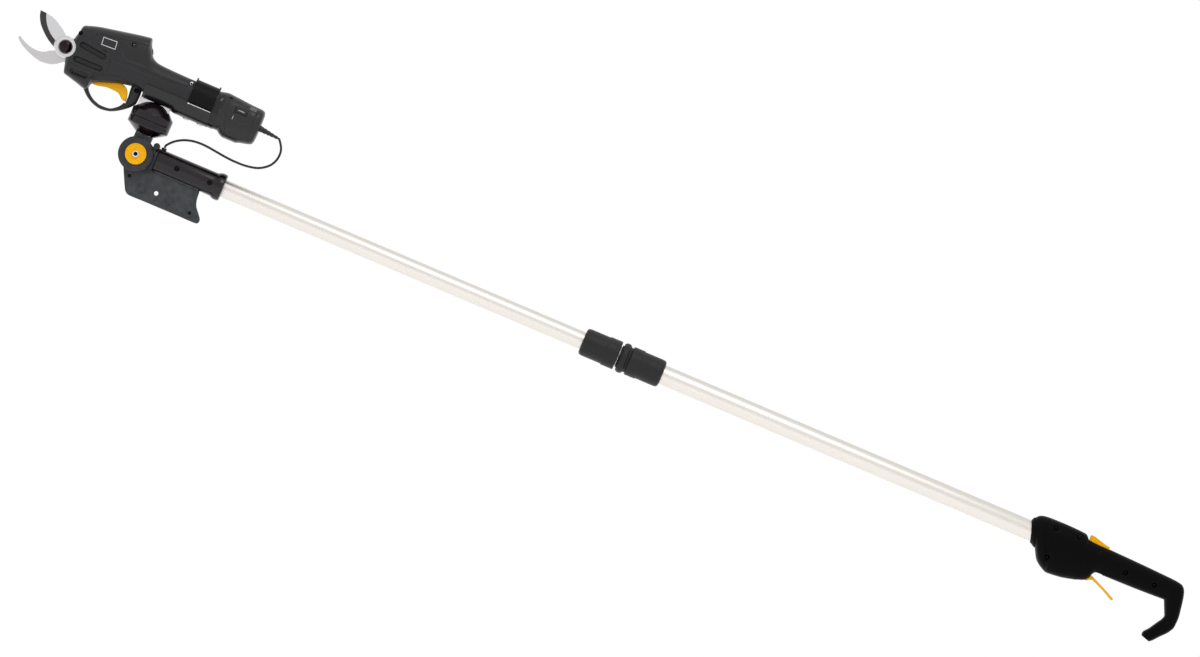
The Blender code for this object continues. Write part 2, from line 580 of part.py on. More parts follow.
def make_handle(looks, handle, trigger_frame, lock_off_frame):
    """Two shells with a hooked end, and what they hold."""
    reach = 60 * MM
    px, pz = TRIGGER_PIVOT
    ox, oz = LOCK_OFF_PIVOT
    ribs = [
        tool(f"handle_rib_{i}", block((a * MM, b * MM), (-reach, reach), (-reach, reach)), handle)
        for i, (a, b) in enumerate(HANDLE_RIBS)
    ]
    shelf_top = -20.4 * MM
    ribs.append(tool(
        "switch_shelf", block((72 * MM, 86 * MM), (-reach, reach), (shelf_top - 2 * MM, shelf_top)),
        handle,
    ))
    backing = block(
        (HOOK_SEAT_X - WALL, HOOK_SEAT_X + 8 * MM), (-8.5 * MM, 8.5 * MM), (-39.4 * MM, -29.8 * MM),
    )
    ribs.append(tool("hook_backing", backing, handle))
    bosses = [
        tool(f"handle_boss_{i}", rod("Y", -reach, reach, SHELL_BOSS_R, (x * MM, 0, z * MM), 16), handle)
        for i, (x, z) in enumerate(HANDLE_SCREWS)
    ]
    for side, low in ((1, TRIGGER_WIDTH / 2 + 1 * MM), (-1, -reach)):
        span = (low, low + reach - TRIGGER_WIDTH / 2 - 1 * MM)
        bosses.append(tool(f"pivot_boss_{side}", rod("Y", *span, 4.6 * MM, (px, 0, pz), 16), handle))
        bosses.append(tool(f"lock_off_boss_{side}", rod("Y", *span, 4.2 * MM, (ox, 0, oz), 16), handle))
    hollow = cavity_of("handle_cavity", HANDLE_STATIONS[2:-3], handle, ribs, bosses)
    bore = tool("tube_bore", rod("X", OUTER_START - 2 * MM, NOSE_X + reach, TUBE_R + FIT, steps=32), handle)
    seat = turned(
        [(OUTER_START + 45 * MM, 0), (OUTER_START + 45 * MM, TUBE_R + 2.5 * MM), (
            NOSE_X + reach, TUBE_R + 2.5 * MM,
        ),
         (NOSE_X + reach, 0)]
    )
    collar_room = tool("collar_room", seat, handle)
    lever_room = tool(
        "lever_room",
        block(
            (44 * MM, 79 * MM), (-TRIGGER_WIDTH / 2 - RUN, TRIGGER_WIDTH / 2 + RUN),
            (-33.0 * MM, -10.6 * MM),
        ),
        handle,
    )
    under = prism(
        [(72.6 * MM, -33.2 * MM), (80 * MM, -33.2 * MM), (80 * MM, -22 * MM), (72.6 * MM, -22 * MM)],
        -reach, reach
    )
    cut(lever_room, tool("lever_room_end", under, handle))
    press_room = tool(
        "lock_off_room",
        block(
            (47.2 * MM, 77.4 * MM), (-LOCK_OFF_WIDTH / 2 - RUN, LOCK_OFF_WIDTH / 2 + RUN),
            (8.6 * MM, 40 * MM),
        ),
        handle,
    )
    lever_trunnion_room = tool(
        "lever_trunnion_room", rod("Y", -13 * MM, 13 * MM, 2.0 * MM + RUN, (px, 0, pz), 14), handle,
    )
    trunnion_room = tool(
        "trunnion_room", rod("Y", -11.5 * MM, 11.5 * MM, 2.0 * MM + RUN, (ox, 0, oz), 14), handle,
    )
    hook_seat = tool(
        "hook_seat", block((HOOK_SEAT_X, HOOK_SEAT_X + 12 * MM), (-7 * MM, 7 * MM), (-37.8 * MM, -31.4 * MM)),
        handle,
    )
    seats = [14.0 * MM, 14.0 * MM, 14.0 * MM, HANDLE_SCREW_SEAT, HANDLE_SCREW_SEAT]
    rooms = []
    for i, (x, z) in enumerate(HANDLE_SCREWS):
        rooms.append(screw_room(
            f"handle_screw_room_{i}", x * MM, z * MM, seats[i], -seats[i] + 1 * MM, reach, handle,
        ))
        screw(
            f"handle_screw_{i + 1}", x * MM, z * MM, seats[i], -seats[i] + 1 * MM, looks["black_bolt"],
            handle,
        )
    for name, side in (("handle_shell_left", 1), ("handle_shell_right", -1)):
        shell = piece(name, body_of(HANDLE_STATIONS, 18), looks["grip_black"], handle)
        cut(shell, half_space(name + "_joint", side, handle))
        cut(
            shell, hollow, bore, collar_room, lever_room, press_room, lever_trunnion_room, trunnion_room,
            hook_seat, *rooms
        )

    rings = []
    for x, slope, height in NOSE_RINGS:
        r = TUBE_R + height * MM
        ring = [(r * math.cos(a), r * math.sin(a)) for a in circle_angles(24)]
        rings.append([(x * MM + slope * z, y, z) for y, z in ring])
    piece("nose_collar", skinned(rings, True), looks["cap_grey"], handle)

    switch = piece(
        "trigger_switch",
        block((74.6 * MM, 85.8 * MM), (-4 * MM, 4 * MM), (shelf_top + FIT, shelf_top + 6.5 * MM)),
        looks["drum_black"], handle,
    )
    join(
        switch,
        tool("switch_plunger", rod("X", 73.4 * MM, 75.2 * MM, 1.0 * MM, (0, 0, -16.5 * MM), 12), handle),
    )

    lever = prism(scaled(LEVER_OUTLINE), -TRIGGER_WIDTH / 2, TRIGGER_WIDTH / 2)
    lever = piece("handle_trigger", lever, looks["yellow"], trigger_frame)
    join(lever, tool("lever_trunnion", rod("Y", -12.6 * MM, 12.6 * MM, 2.0 * MM, steps=16), trigger_frame))
    wedge = piece(
        "lock_off_lever", prism(scaled(LOCK_OFF_OUTLINE), -LOCK_OFF_WIDTH / 2, LOCK_OFF_WIDTH / 2),
        looks["yellow"], lock_off_frame,
    )
    join(wedge, tool("trunnion", rod("Y", -11 * MM, 11 * MM, 2.0 * MM, steps=16), lock_off_frame))


def make_socket(looks, extension, knob_frame):
    """Socket on the inner tube, hinge fork, bracket plate and the clamping knob."""
    bead = SOCKET_BEAD_WIDTH
    bore = INNER_R + FIT
    front = SOCKET_END - SOCKET_START
    depth = SOCKET_DEPTH + FIT
    through = INNER_BORE - FIT
    profile = [
        (0.0, bore), (0.0, SOCKET_BEAD_R - 1.6 * MM), (0.6 * MM, SOCKET_BEAD_R - 0.5 * MM),
        (2.0 * MM, SOCKET_BEAD_R), (bead * 0.5, SOCKET_BEAD_R), (bead * 0.75, SOCKET_BEAD_R - 0.9 * MM),
        (bead, SOCKET_R + 0.4 * MM), (bead * 1.3, SOCKET_R), (front, SOCKET_R), (front, through + FIT),
        (depth, through + FIT), (depth, bore),
    ]
    socket = piece(
        "pole_socket", turned(profile), looks["drum_black"], extension,
        (SOCKET_START - INNER_START, 0, 0),
    )
    local = SOCKET_START - INNER_START
    holes = [SOCKET_DEPTH * 0.2, SOCKET_DEPTH * 0.7]
    tube = bpy.data.objects["inner_tube"]
    for i, (x, name) in enumerate(zip(holes, ("rear", "front"))):
        seat = SOCKET_R - 2.0 * MM
        tip = INNER_BORE - 2.0 * MM
        room = screw_room(
            f"socket_screw_room_{i}", local + x, 0, seat, tip, SOCKET_R + 10 * MM, extension, 3.4 * MM,
            1.8 * MM,
        )
        screw(
            f"socket_screw_{name}", local + x, 0, seat, tip, looks["black_bolt"], extension, 3.4 * MM,
            1.8 * MM,
        )
        cut(socket, room)
        cut(tube, room)
    hinge = (HINGE_X - INNER_START, 0.0, HINGE_Z)
    block_x = SOCKET_END + FIT - INNER_START
    lead_x = INNER_END - INNER_START - 2.0 * MM
    gland = [
        (SOCKET_R - 2.0 * MM, 0.0), (SOCKET_R - 2.0 * MM, 2.9 * MM), (SOCKET_R + 0.5 * MM, 2.9 * MM),
        (SOCKET_R + 0.5 * MM, 3.9 * MM), (GROMMET_TOP, 3.0 * MM), (GROMMET_TOP, 0.0),
    ]
    piece("lead_grommet", turned(gland, "Z", steps=16), looks["lead"], extension, (lead_x, 0, 0))
    cut(
        socket,
        tool(
            "grommet_hole",
            rod("Z", SOCKET_R - 2.3 * MM, SOCKET_R + 9 * MM, 2.9 * MM + FIT, (lead_x, 0, 0), 16),
            extension,
        ),
    )

    fork = prism(
        [
            (block_x, -15 * MM), (block_x + FORK_BLOCK, -15 * MM), (block_x + FORK_BLOCK, 15 * MM),
            (block_x, 15 * MM),
        ],
        -CHEEK_OUTER + 0.5 * MM, CHEEK_OUTER - 0.5 * MM,
    )
    fork = piece("hinge_fork", fork, looks["wheel_grey"], extension)
    spigot = tool(
        "fork_spigot", rod("X", block_x - SPIGOT_LENGTH, block_x + 1 * MM, through, steps=24), extension,
    )
    for side in (1, -1):
        low, high = (CHEEK_INNER, CHEEK_OUTER) if side > 0 else (-CHEEK_OUTER, -CHEEK_INNER)
        edge = 1.2 * MM
        if side > 0:
            rim = [
                (low, 0), (low, WHEEL_R - 0.4 * MM), (high - edge, WHEEL_R), (high, WHEEL_R - edge * 2),
                (high, 0),
            ]
        else:
            rim = [
                (low, 0), (low, WHEEL_R - edge * 2), (low + edge, WHEEL_R), (high, WHEEL_R - 0.4 * MM),
                (high, 0),
            ]
        cheek = tool(f"cheek_{side}", turned(rim, "Y", hinge, 32), extension)
        span = (low + 0.2 * MM, high - 0.2 * MM)
        arm = block((block_x + 0.5 * MM, HINGE_X - INNER_START - 10 * MM), span, (-14.5 * MM, 14.5 * MM))
        join(fork, cheek, tool(f"cheek_arm_{side}", arm, extension))
    join(fork, spigot)
    recess = rod("Y", CHEEK_OUTER - 3.2 * MM, CHEEK_OUTER + 9 * MM, HUB_DISC_R + FIT, hinge, 28)
    bolt_hole = rod("Y", -40 * MM, 40 * MM, HINGE_BOLT_R + FIT, hinge, 20)
    ear_x, ear_z = block_x + 5.0 * MM, 16.6 * MM
    ear = rod(
        "Y", -CHEEK_INNER * 0.7, CHEEK_OUTER - 3.0 * MM, KNOB_R - 0.7 * MM, (ear_x, 0, ear_z - 0.4 * MM),
        20,
    )
    knob_hole = rod("Y", -40 * MM, 40 * MM, 1.8 * MM + RUN, (ear_x, 0, ear_z), 16)
    core = rod("X", block_x - 30 * MM, block_x + 40 * MM, through * 0.6, steps=20)
    join(fork, tool("knob_ear", ear, extension))
    cut(fork, tool("hub_recess", recess, extension), tool("hinge_bolt_hole", bolt_hole, extension))
    knob_recess = rod("Y", CHEEK_OUTER - 4.0 * MM, 40 * MM, KNOB_R + RUN, (ear_x, 0, ear_z), 20)
    cut(fork, tool("knob_hole", knob_hole, extension), tool("knob_recess", knob_recess, extension))
    cut(fork, tool("fork_bore", core, extension))

    disc_low = CHEEK_OUTER - 3.2 * MM + FIT
    disc = [
        (disc_low, HINGE_BOLT_R + FIT), (disc_low, HUB_DISC_R), (CHEEK_OUTER - 0.6 * MM, HUB_DISC_R),
        (CHEEK_OUTER, HUB_DISC_R - 0.6 * MM), (CHEEK_OUTER, HINGE_BOLT_R + FIT),
    ]
    piece("hub_disc", turned(disc, "Y", steps=28), looks["yellow"], extension, hinge)
    head = CHEEK_OUTER + FIT
    bolt = [
        (-CHEEK_OUTER - 6.5 * MM, 0), (-CHEEK_OUTER - 6.5 * MM, HINGE_BOLT_R), (head, HINGE_BOLT_R),
        (head, HINGE_BOLT_R + 1.4 * MM), (head + 1.6 * MM, HINGE_BOLT_R + 1.4 * MM),
        (head + 2.2 * MM, HINGE_BOLT_R + 0.8 * MM),
        (head + 2.2 * MM, 2.0 * MM), (head + 0.4 * MM, 2.0 * MM), (head + 0.4 * MM, 0),
    ]
    piece("hinge_bolt", turned(bolt, "Y", steps=20), looks["bolt"], extension, hinge)
    nut_low = -CHEEK_OUTER - FIT - 5 * MM
    nut = piece(
        "hinge_nut", rod("Y", nut_low, -CHEEK_OUTER - FIT, 5.6 * MM, steps=6), looks["bolt"], extension,
        hinge,
    )
    cut(
        nut,
        tool("hinge_nut_bore", rod("Y", -40 * MM, 0.0, HINGE_BOLT_R + FIT, steps=20), extension, hinge),
    )

    half = BRACKET_THICKNESS / 2
    plate = piece(
        "bracket_plate", prism(scaled(BRACKET_OUTLINE), -half, half), looks["wheel_grey"], extension,
        hinge,
    )
    rail = block((-93 * MM, -31 * MM), (-8 * MM, 8 * MM), (-19.5 * MM, -8 * MM))
    join(plate, tool("bracket_rail", rail, extension, hinge))
    cut(
        plate,
        tool(
            "bracket_seat", rod("X", -150 * MM, -2 * MM, SOCKET_R + FIT, (0, 0, HINGE_DROP), 32),
            extension, hinge,
        ),
    )
    cut(
        plate,
        tool(
            "wheel_room", rod("Y", -40 * MM, 40 * MM, TONGUE_R + 1.0 * MM, (0, 0, 0), 32), extension,
            hinge,
        ),
    )
    hx, hz = BRACKET_HOLE
    cut(
        plate,
        tool(
            "bracket_hole", rod("Y", -40 * MM, 40 * MM, 2.9 * MM, (hx * MM, 0, hz * MM), 20), extension,
            hinge,
        ),
    )
    for x, z in ((-2.8, -29.2), (-93.6, -43.6)):
        name = f"bracket_screw_hole_{int(-x)}"
        hole = turned([(-half - 1 * MM, 0), (-half - 1 * MM, 1.5 * MM), (half - 1.2 * MM, 1.5 * MM), (
            half + 1 * MM, 3.9 * MM,
        ),
                       (half + 1 * MM, 0)], "Y", (x * MM, 0, z * MM), 16)
        cut(plate, tool(name, hole, extension, hinge))
    cut(
        fork,
        tool(
            "plate_slot", block((-60 * MM, 30 * MM), (-half - FIT, half + FIT), (-60 * MM, -13.7 * MM)),
            extension, hinge,
        ),
    )

    low = CHEEK_OUTER - 4.0 * MM + FIT
    knob = [
        (-CHEEK_INNER * 0.7, 0), (-CHEEK_INNER * 0.7, 1.8 * MM), (low, 1.8 * MM), (low, KNOB_R - 0.6 * MM),
        (low + 0.6 * MM, KNOB_R), (low + 6.4 * MM, KNOB_R), (low + 7.2 * MM, KNOB_R - 0.8 * MM),
        (low + 7.2 * MM, 0),
    ]
    piece("tilt_lock_knob", turned(knob, "Y", steps=18), looks["cap_grey"], knob_frame)


def drum_outline(grow=0.0):
    """The outside of the upper swivel housing, from its seam to its dome, measured from the hinge."""
    top = DRUM_TOP + grow
    return [
        (DRUM_SEAM + FIT, DRUM_R + grow), (DRUM_SHOULDER, DRUM_R + grow),
        (DRUM_SHOULDER + DRUM_UPPER_CONE, DRUM_R - 10 * MM + grow),
        (top - 1.8 * MM, DRUM_R - 15 * MM + grow),
        (top, DRUM_R - 20.5 * MM + grow),
    ]


def make_knuckle(looks, knuckle):
    """Tongue between the fork's cheeks, lower half of the swivel drum and its bolt."""
    tongue = turned(
        [(-TONGUE_HALF, 0), (-TONGUE_HALF, TONGUE_R), (TONGUE_HALF, TONGUE_R), (TONGUE_HALF, 0)], "Y",
        steps=40
    )
    tongue = piece("knuckle", tongue, looks["wheel_grey"], knuckle)
    half = NECK_WIDTH / 2
    neck = block((-half, half), (-TONGUE_HALF + 1 * MM, TONGUE_HALF - 1 * MM), (5 * MM, DRUM_BASE - FIT))
    join(tongue, tool("neck", neck, knuckle))
    cut(tongue, tool("tongue_bore", rod("Y", -40 * MM, 40 * MM, HINGE_BOLT_R + RUN, steps=20), knuckle))
    bolt_low = HINGE_BOLT_R + 7 * MM
    cut(
        tongue,
        tool(
            "swivel_thread", rod("Z", bolt_low - FIT, DRUM_BASE + 5 * MM, SWIVEL_BOLT_R + FIT, steps=20),
            knuckle,
        ),
    )
    bolt_r = SWIVEL_BOLT_R
    base = [
        (DRUM_BASE, bolt_r + FIT), (DRUM_BASE, DRUM_FOOT_R), (DRUM_BASE + DRUM_LOWER_CONE, DRUM_R),
        (DRUM_SEAM, DRUM_R),
        (DRUM_SEAM, DRUM_R - 3.5 * MM), (DRUM_BASE + DRUM_LOWER_CONE + 1 * MM, DRUM_R - 4.5 * MM),
        (DRUM_BASE + 6 * MM, DRUM_FOOT_R), (DRUM_BASE + 6 * MM, bolt_r + 4.5 * MM),
        (DRUM_SEAM, bolt_r + 4.5 * MM),
        (DRUM_SEAM, bolt_r + FIT),
    ]
    piece("swivel_base", turned(base, "Z", steps=32), looks["drum_black"], knuckle)
    seat = DRUM_SHOULDER + 3 * MM
    bolt = [
        (bolt_low, 0), (bolt_low, bolt_r), (seat, bolt_r), (seat, bolt_r + 3 * MM),
        (seat + 4 * MM, bolt_r + 3 * MM),
        (seat + 4 * MM, 0),
    ]
    piece("swivel_bolt", turned(bolt, "Z", steps=24), looks["bolt"], knuckle)


def make_mounting(looks, pruner):
    """Upper half of the swivel drum, saddle plate, cradle and strap band."""
    drop = -GRIP_Z
    bolt_r = SWIVEL_BOLT_R
    seat = DRUM_SHOULDER + 3 * MM
    outside = [(a + drop, r) for a, r in drum_outline()]
    cover = outside + [
        (DRUM_TOP + drop, bolt_r + 3.4 * MM), (seat - RUN + drop, bolt_r + 3.4 * MM),
        (seat - RUN + drop, bolt_r + RUN),
        (DRUM_SEAM + FIT + drop, bolt_r + RUN),
    ]
    piece("swivel_cover", turned(cover, "Z", steps=32), looks["drum_black"], pruner)
    envelope = [(DRUM_SEAM + drop, 0)] + [(a + drop, r) for a, r in drum_outline(FIT)] + [(
        DRUM_TOP + FIT + drop, 0,
    )]
    drum_room = tool("drum_room", turned(envelope, "Z", steps=32), pruner)
    saddle_top = DRUM_TOP + drop + 1.6 * MM
    saddle_low = DRUM_SHOULDER + 4.5 * MM + drop
    saddle = block((-18.5 * MM, 23.5 * MM), (-10 * MM, 10 * MM), (saddle_low, saddle_top))
    saddle = piece("saddle_plate", saddle, looks["saddle_grey"], pruner)
    cut(saddle, drum_room)
    grip_room = tool("grip_room", body_of(PRUNER_STATIONS[13:], 20, -FIT), pruner)
    cradle = piece("cradle", body_of(CRADLE_STATIONS, 20), looks["cradle_grey"], pruner)
    reach = 60 * MM
    parting = -3.0 * MM
    above = tool("above_cradle", block((-100 * MM, 60 * MM), (-reach, reach), (parting, reach)), pruner)
    saddle_room = block(
        (-18.5 * MM - FIT, 23.5 * MM + FIT), (-10 * MM - FIT, 10 * MM + FIT),
        (saddle_low, saddle_top + FIT),
    )
    cut(cradle, grip_room, above, tool("saddle_room", saddle_room, pruner), drum_room)
    strap_x = (-68.5 * MM, -35.5 * MM)
    strap = [
        (-35.5, 28.0, -35.5, -28.0, 22.6, 2.6), (-68.5, 28.0, -68.5, -28.0, 22.6, 2.6),
    ]
    band = piece("strap_band", body_of(strap, 20), looks["strap_black"], pruner)
    below = tool(
        "below_strap", block((-100 * MM, 60 * MM), (-reach, reach), (-reach, parting + FIT)), pruner,
    )
    for i, x in enumerate(strap_x):
        inward = 1.4 * MM if i == 0 else -1.4 * MM
        fin = block(sorted((x, x + inward)), (-8 * MM, 8 * MM), (24 * MM, 30 * MM))
        join(band, tool(f"strap_fin_{i}", fin, pruner))
    cut(band, grip_room, below)
    for i, x in enumerate((-41.5 * MM, -60.5 * MM)):
        floor = -25.0 * MM
        profile = [
            (floor - 1.8 * MM, 0), (floor - 1.8 * MM, 3.0 * MM), (floor - 0.8 * MM, 4.6 * MM),
            (floor + 0.8 * MM, 4.6 * MM), (floor + 0.8 * MM, 1.8 * MM), (floor + 5.0 * MM, 1.8 * MM),
            (floor + 5.0 * MM, 0),
        ]
        piece(f"cradle_screw_{i + 1}", turned(profile, "Z", steps=16), looks["bolt"], pruner, (x, 0, 0))
        room = [
            (floor - 9 * MM, 0), (floor - 9 * MM, 4.6 * MM + FIT), (floor + 0.8 * MM + FIT, 4.6 * MM + FIT),
            (floor + 0.8 * MM + FIT, 1.8 * MM + FIT), (floor + 9 * MM, 1.8 * MM + FIT), (floor + 9 * MM, 0),
        ]
        cut(cradle, tool(f"cradle_screw_room_{i}", turned(room, "Z", (x, 0, 0), 16), pruner))


def make_housing(looks, pruner):
    """Left and right shells with the trigger guard, the top cap and what they hold."""
    reach = 60 * MM
    ribs = []
    for i, (a, b) in enumerate(((76.5, 79.0), (42.0, 44.5))):
        ribs.append(tool(
            f"drive_rib_{i}", block((a * MM, b * MM), (-reach, reach), (-reach, reach)), pruner,
        ))
    for i, (a, b) in enumerate(((6.0, 8.0), (-46.0, -44.0))):
        ribs.append(tool(
            f"board_rib_{i}", block((a * MM, b * MM), (-reach, reach), (-reach, reach)), pruner,
        ))
    pad = block((106 * MM, 110 * MM), (-reach, -COUNTER_THICKNESS - FIT / 2 - FIT), (-14 * MM, 9 * MM))
    ribs.append(tool("counter_pad", pad, pruner))
    bosses = [
        tool(f"housing_boss_{i}", rod("Y", -reach, reach, 3.6 * MM, (x * MM, 0, z * MM), 16), pruner)
        for i, (x, z) in enumerate(HOUSING_SCREWS)
    ]
    hollow = tool("housing_cavity", body_of(PRUNER_STATIONS[2:], 14, WALL), pruner)
    mouth_wall = WALL + 0.2 * MM
    before, last = PRUNER_STATIONS[-2:]
    tail = [section(before, 14, mouth_wall), section(last, 14, mouth_wall, 4 * MM)]
    open_end = tool("housing_mouth", lofted(tail), pruner)
    cut(hollow, *ribs, *bosses)
    gear_room = tool(
        "gear_room", rod("X", 70 * MM, 96.2 * MM, GEARBOX_R + FIT, (0, DRIVE_Y, 0), 24), pruner,
    )
    motor_room = tool(
        "motor_room", rod("X", 34 * MM, 70.5 * MM, MOTOR_R + FIT, (0, DRIVE_Y, 0), 24), pruner,
    )
    wire_room = tool("wire_room", rod("X", -60 * MM, 60 * MM, 5 * MM, (0, 0, 12 * MM), 12), pruner)
    board_half = BOARD_WIDTH / 2 + FIT
    board_room = block((-52 * MM, 14 * MM), (-board_half, board_half), (-FIT, BOARD_THICKNESS + FIT))
    board_room = tool("board_room", board_room, pruner)
    slot_span = (-COUNTER_THICKNESS - FIT / 2 - FIT, BLADE_FACE + TOOTH_HEIGHT + 1 * MM)
    slot = tool("blade_slot", block((109 * MM, 136 * MM), slot_span, (-26 * MM, 25 * MM)), pruner)
    notch = tool(
        "boss_notch", rod("Y", -reach, reach, BLADE_BOSS_R + 0.9 * MM, (PIVOT_X, 0, 0), 32), pruner,
    )
    guard = tool("guard", body_of(GUARD_STATIONS, 12), pruner)
    fx, fz = FINGER_TRIGGER_PIVOT
    half = FINGER_TRIGGER_WIDTH / 2 + RUN
    pocket = [(4.0, -2.6), (3.2, 2.0), (-7.0, 8.4), (-20.4, 14.2), (-33.4, 18.2), (-42.0, 17.2), (
        -47.4, 10.6,
    ),
              (-48.9, 2.6), (-48.9, -8.5), (-29.0, -8.5), (-2.0, -5.4)]
    pocket = tool("trigger_pocket", prism(scaled(pocket), -half, half), pruner, (fx * MM, 0, fz * MM))
    pivot_room = rod("Y", -9.6 * MM, 9.6 * MM, 1.6 * MM + RUN, (fx * MM, 0, fz * MM), 14)
    pivot_room = tool("trigger_pivot_room", pivot_room, pruner)
    button_turn = Matrix.Rotation(math.radians(-61.6), 4, "Y")
    button_room = rod("Z", -9 * MM, 12 * MM, BUTTON_R + RUN, steps=20)
    bmesh.ops.transform(button_room, matrix=button_turn, verts=button_room.verts)
    button_room = tool("button_room", button_room, pruner, (32.3 * MM, 0, 38.2 * MM))
    seats = [16.5 * MM, 11.5 * MM, 13.5 * MM, 4.0 * MM]
    rooms = []
    for i, (x, z) in enumerate(HOUSING_SCREWS):
        seat = seats[i]
        rooms.append(screw_room(
            f"housing_screw_room_{i}", x * MM, z * MM, seat, -seat + 1 * MM, reach, pruner,
        ))
        look = looks["bolt"] if i < 2 else looks["black_bolt"]
        screw(f"housing_screw_{i + 1}", x * MM, z * MM, seat, -seat + 1 * MM, look, pruner)
    cap_line = [(127.0, 31.5), (36.0, 45.0), (20.0, 47.4), (20.0, 80.0), (150.0, 80.0), (150.0, 28.1)]
    above = tool("above_cap_line", prism(scaled(cap_line), -reach, reach), pruner)
    for name, side in (("pruner_shell_left", 1), ("pruner_shell_right", -1)):
        shell = piece(name, body_of(PRUNER_STATIONS, 20), looks["housing_grey"], pruner)
        join(shell, guard)
        cut(shell, half_space(name + "_joint", side, pruner), hollow, open_end, gear_room, motor_room)
        cut(shell, board_room, wire_room, slot, notch, pocket, pivot_room, button_room, above, *rooms)
    cap_low = [(127.2, 31.8), (36.0, 45.3), (20.0, 47.7), (20.0, -80.0), (150.0, -80.0), (150.0, 28.4)]
    cap = piece("top_cap", body_of(PRUNER_STATIONS[:12], 20), looks["cap_grey"], pruner)
    cut(cap, tool("below_cap_line", prism(scaled(cap_low), -reach, reach), pruner))


def make_drive(looks, pruner, pinion_frame):
    """Motor, gearbox and pinion on the drive axis, and the circuit board in the grip."""
    gearbox = [
        (70.8 * MM, 0), (70.8 * MM, GEARBOX_R), (92.0 * MM, GEARBOX_R), (94.0 * MM, GEARBOX_R - 3 * MM),
        (94.0 * MM, 2.2 * MM), (90.0 * MM, 2.2 * MM), (90.0 * MM, 0),
    ]
    piece("gearbox", turned(gearbox, "X", (0, DRIVE_Y, 0), 24), looks["saddle_grey"], pruner)
    motor = [
        (38.0 * MM, 0), (38.0 * MM, 4 * MM), (40.0 * MM, 4 * MM), (40.0 * MM, MOTOR_R),
        (70.5 * MM, MOTOR_R), (70.5 * MM, 0),
    ]
    piece("motor", turned(motor, "X", (0, DRIVE_Y, 0), 24), looks["bolt"], pruner)
    board = block((-50 * MM, 12 * MM), (-BOARD_WIDTH / 2, BOARD_WIDTH / 2), (0, BOARD_THICKNESS))
    piece("circuit_board", board, looks["board"], pruner)

    root = PINION_R - TOOTH_HEIGHT * 0.75
    low, high = -2.4 * MM, 2.4 * MM
    pinion = turned(
        [(-12.2 * MM, 0), (-12.2 * MM, 1.9 * MM), (low, 1.9 * MM), (low, root), (high, root), (high, 0)],
        "X", steps=20,
    )
    pinion = piece("pinion", pinion, looks["coated"], pinion_frame)
    tip = PINION_R + TOOTH_HEIGHT * 0.42
    edge = 0.4 * MM
    for k in range(PINION_TEETH):
        angle = 2 * math.pi * k / PINION_TEETH
        tooth = prism(
            [(low + edge, root - edge), (high - edge, root - edge), (high - edge, tip), (low + edge, tip)],
            -TOOTH_WIDTH / 2, TOOTH_WIDTH / 2,
        )
        bmesh.ops.transform(tooth, matrix=Matrix.Rotation(angle, 4, "X"), verts=tooth.verts)
        join(pinion, tool(f"pinion_tooth_{k}", tooth, pinion_frame))


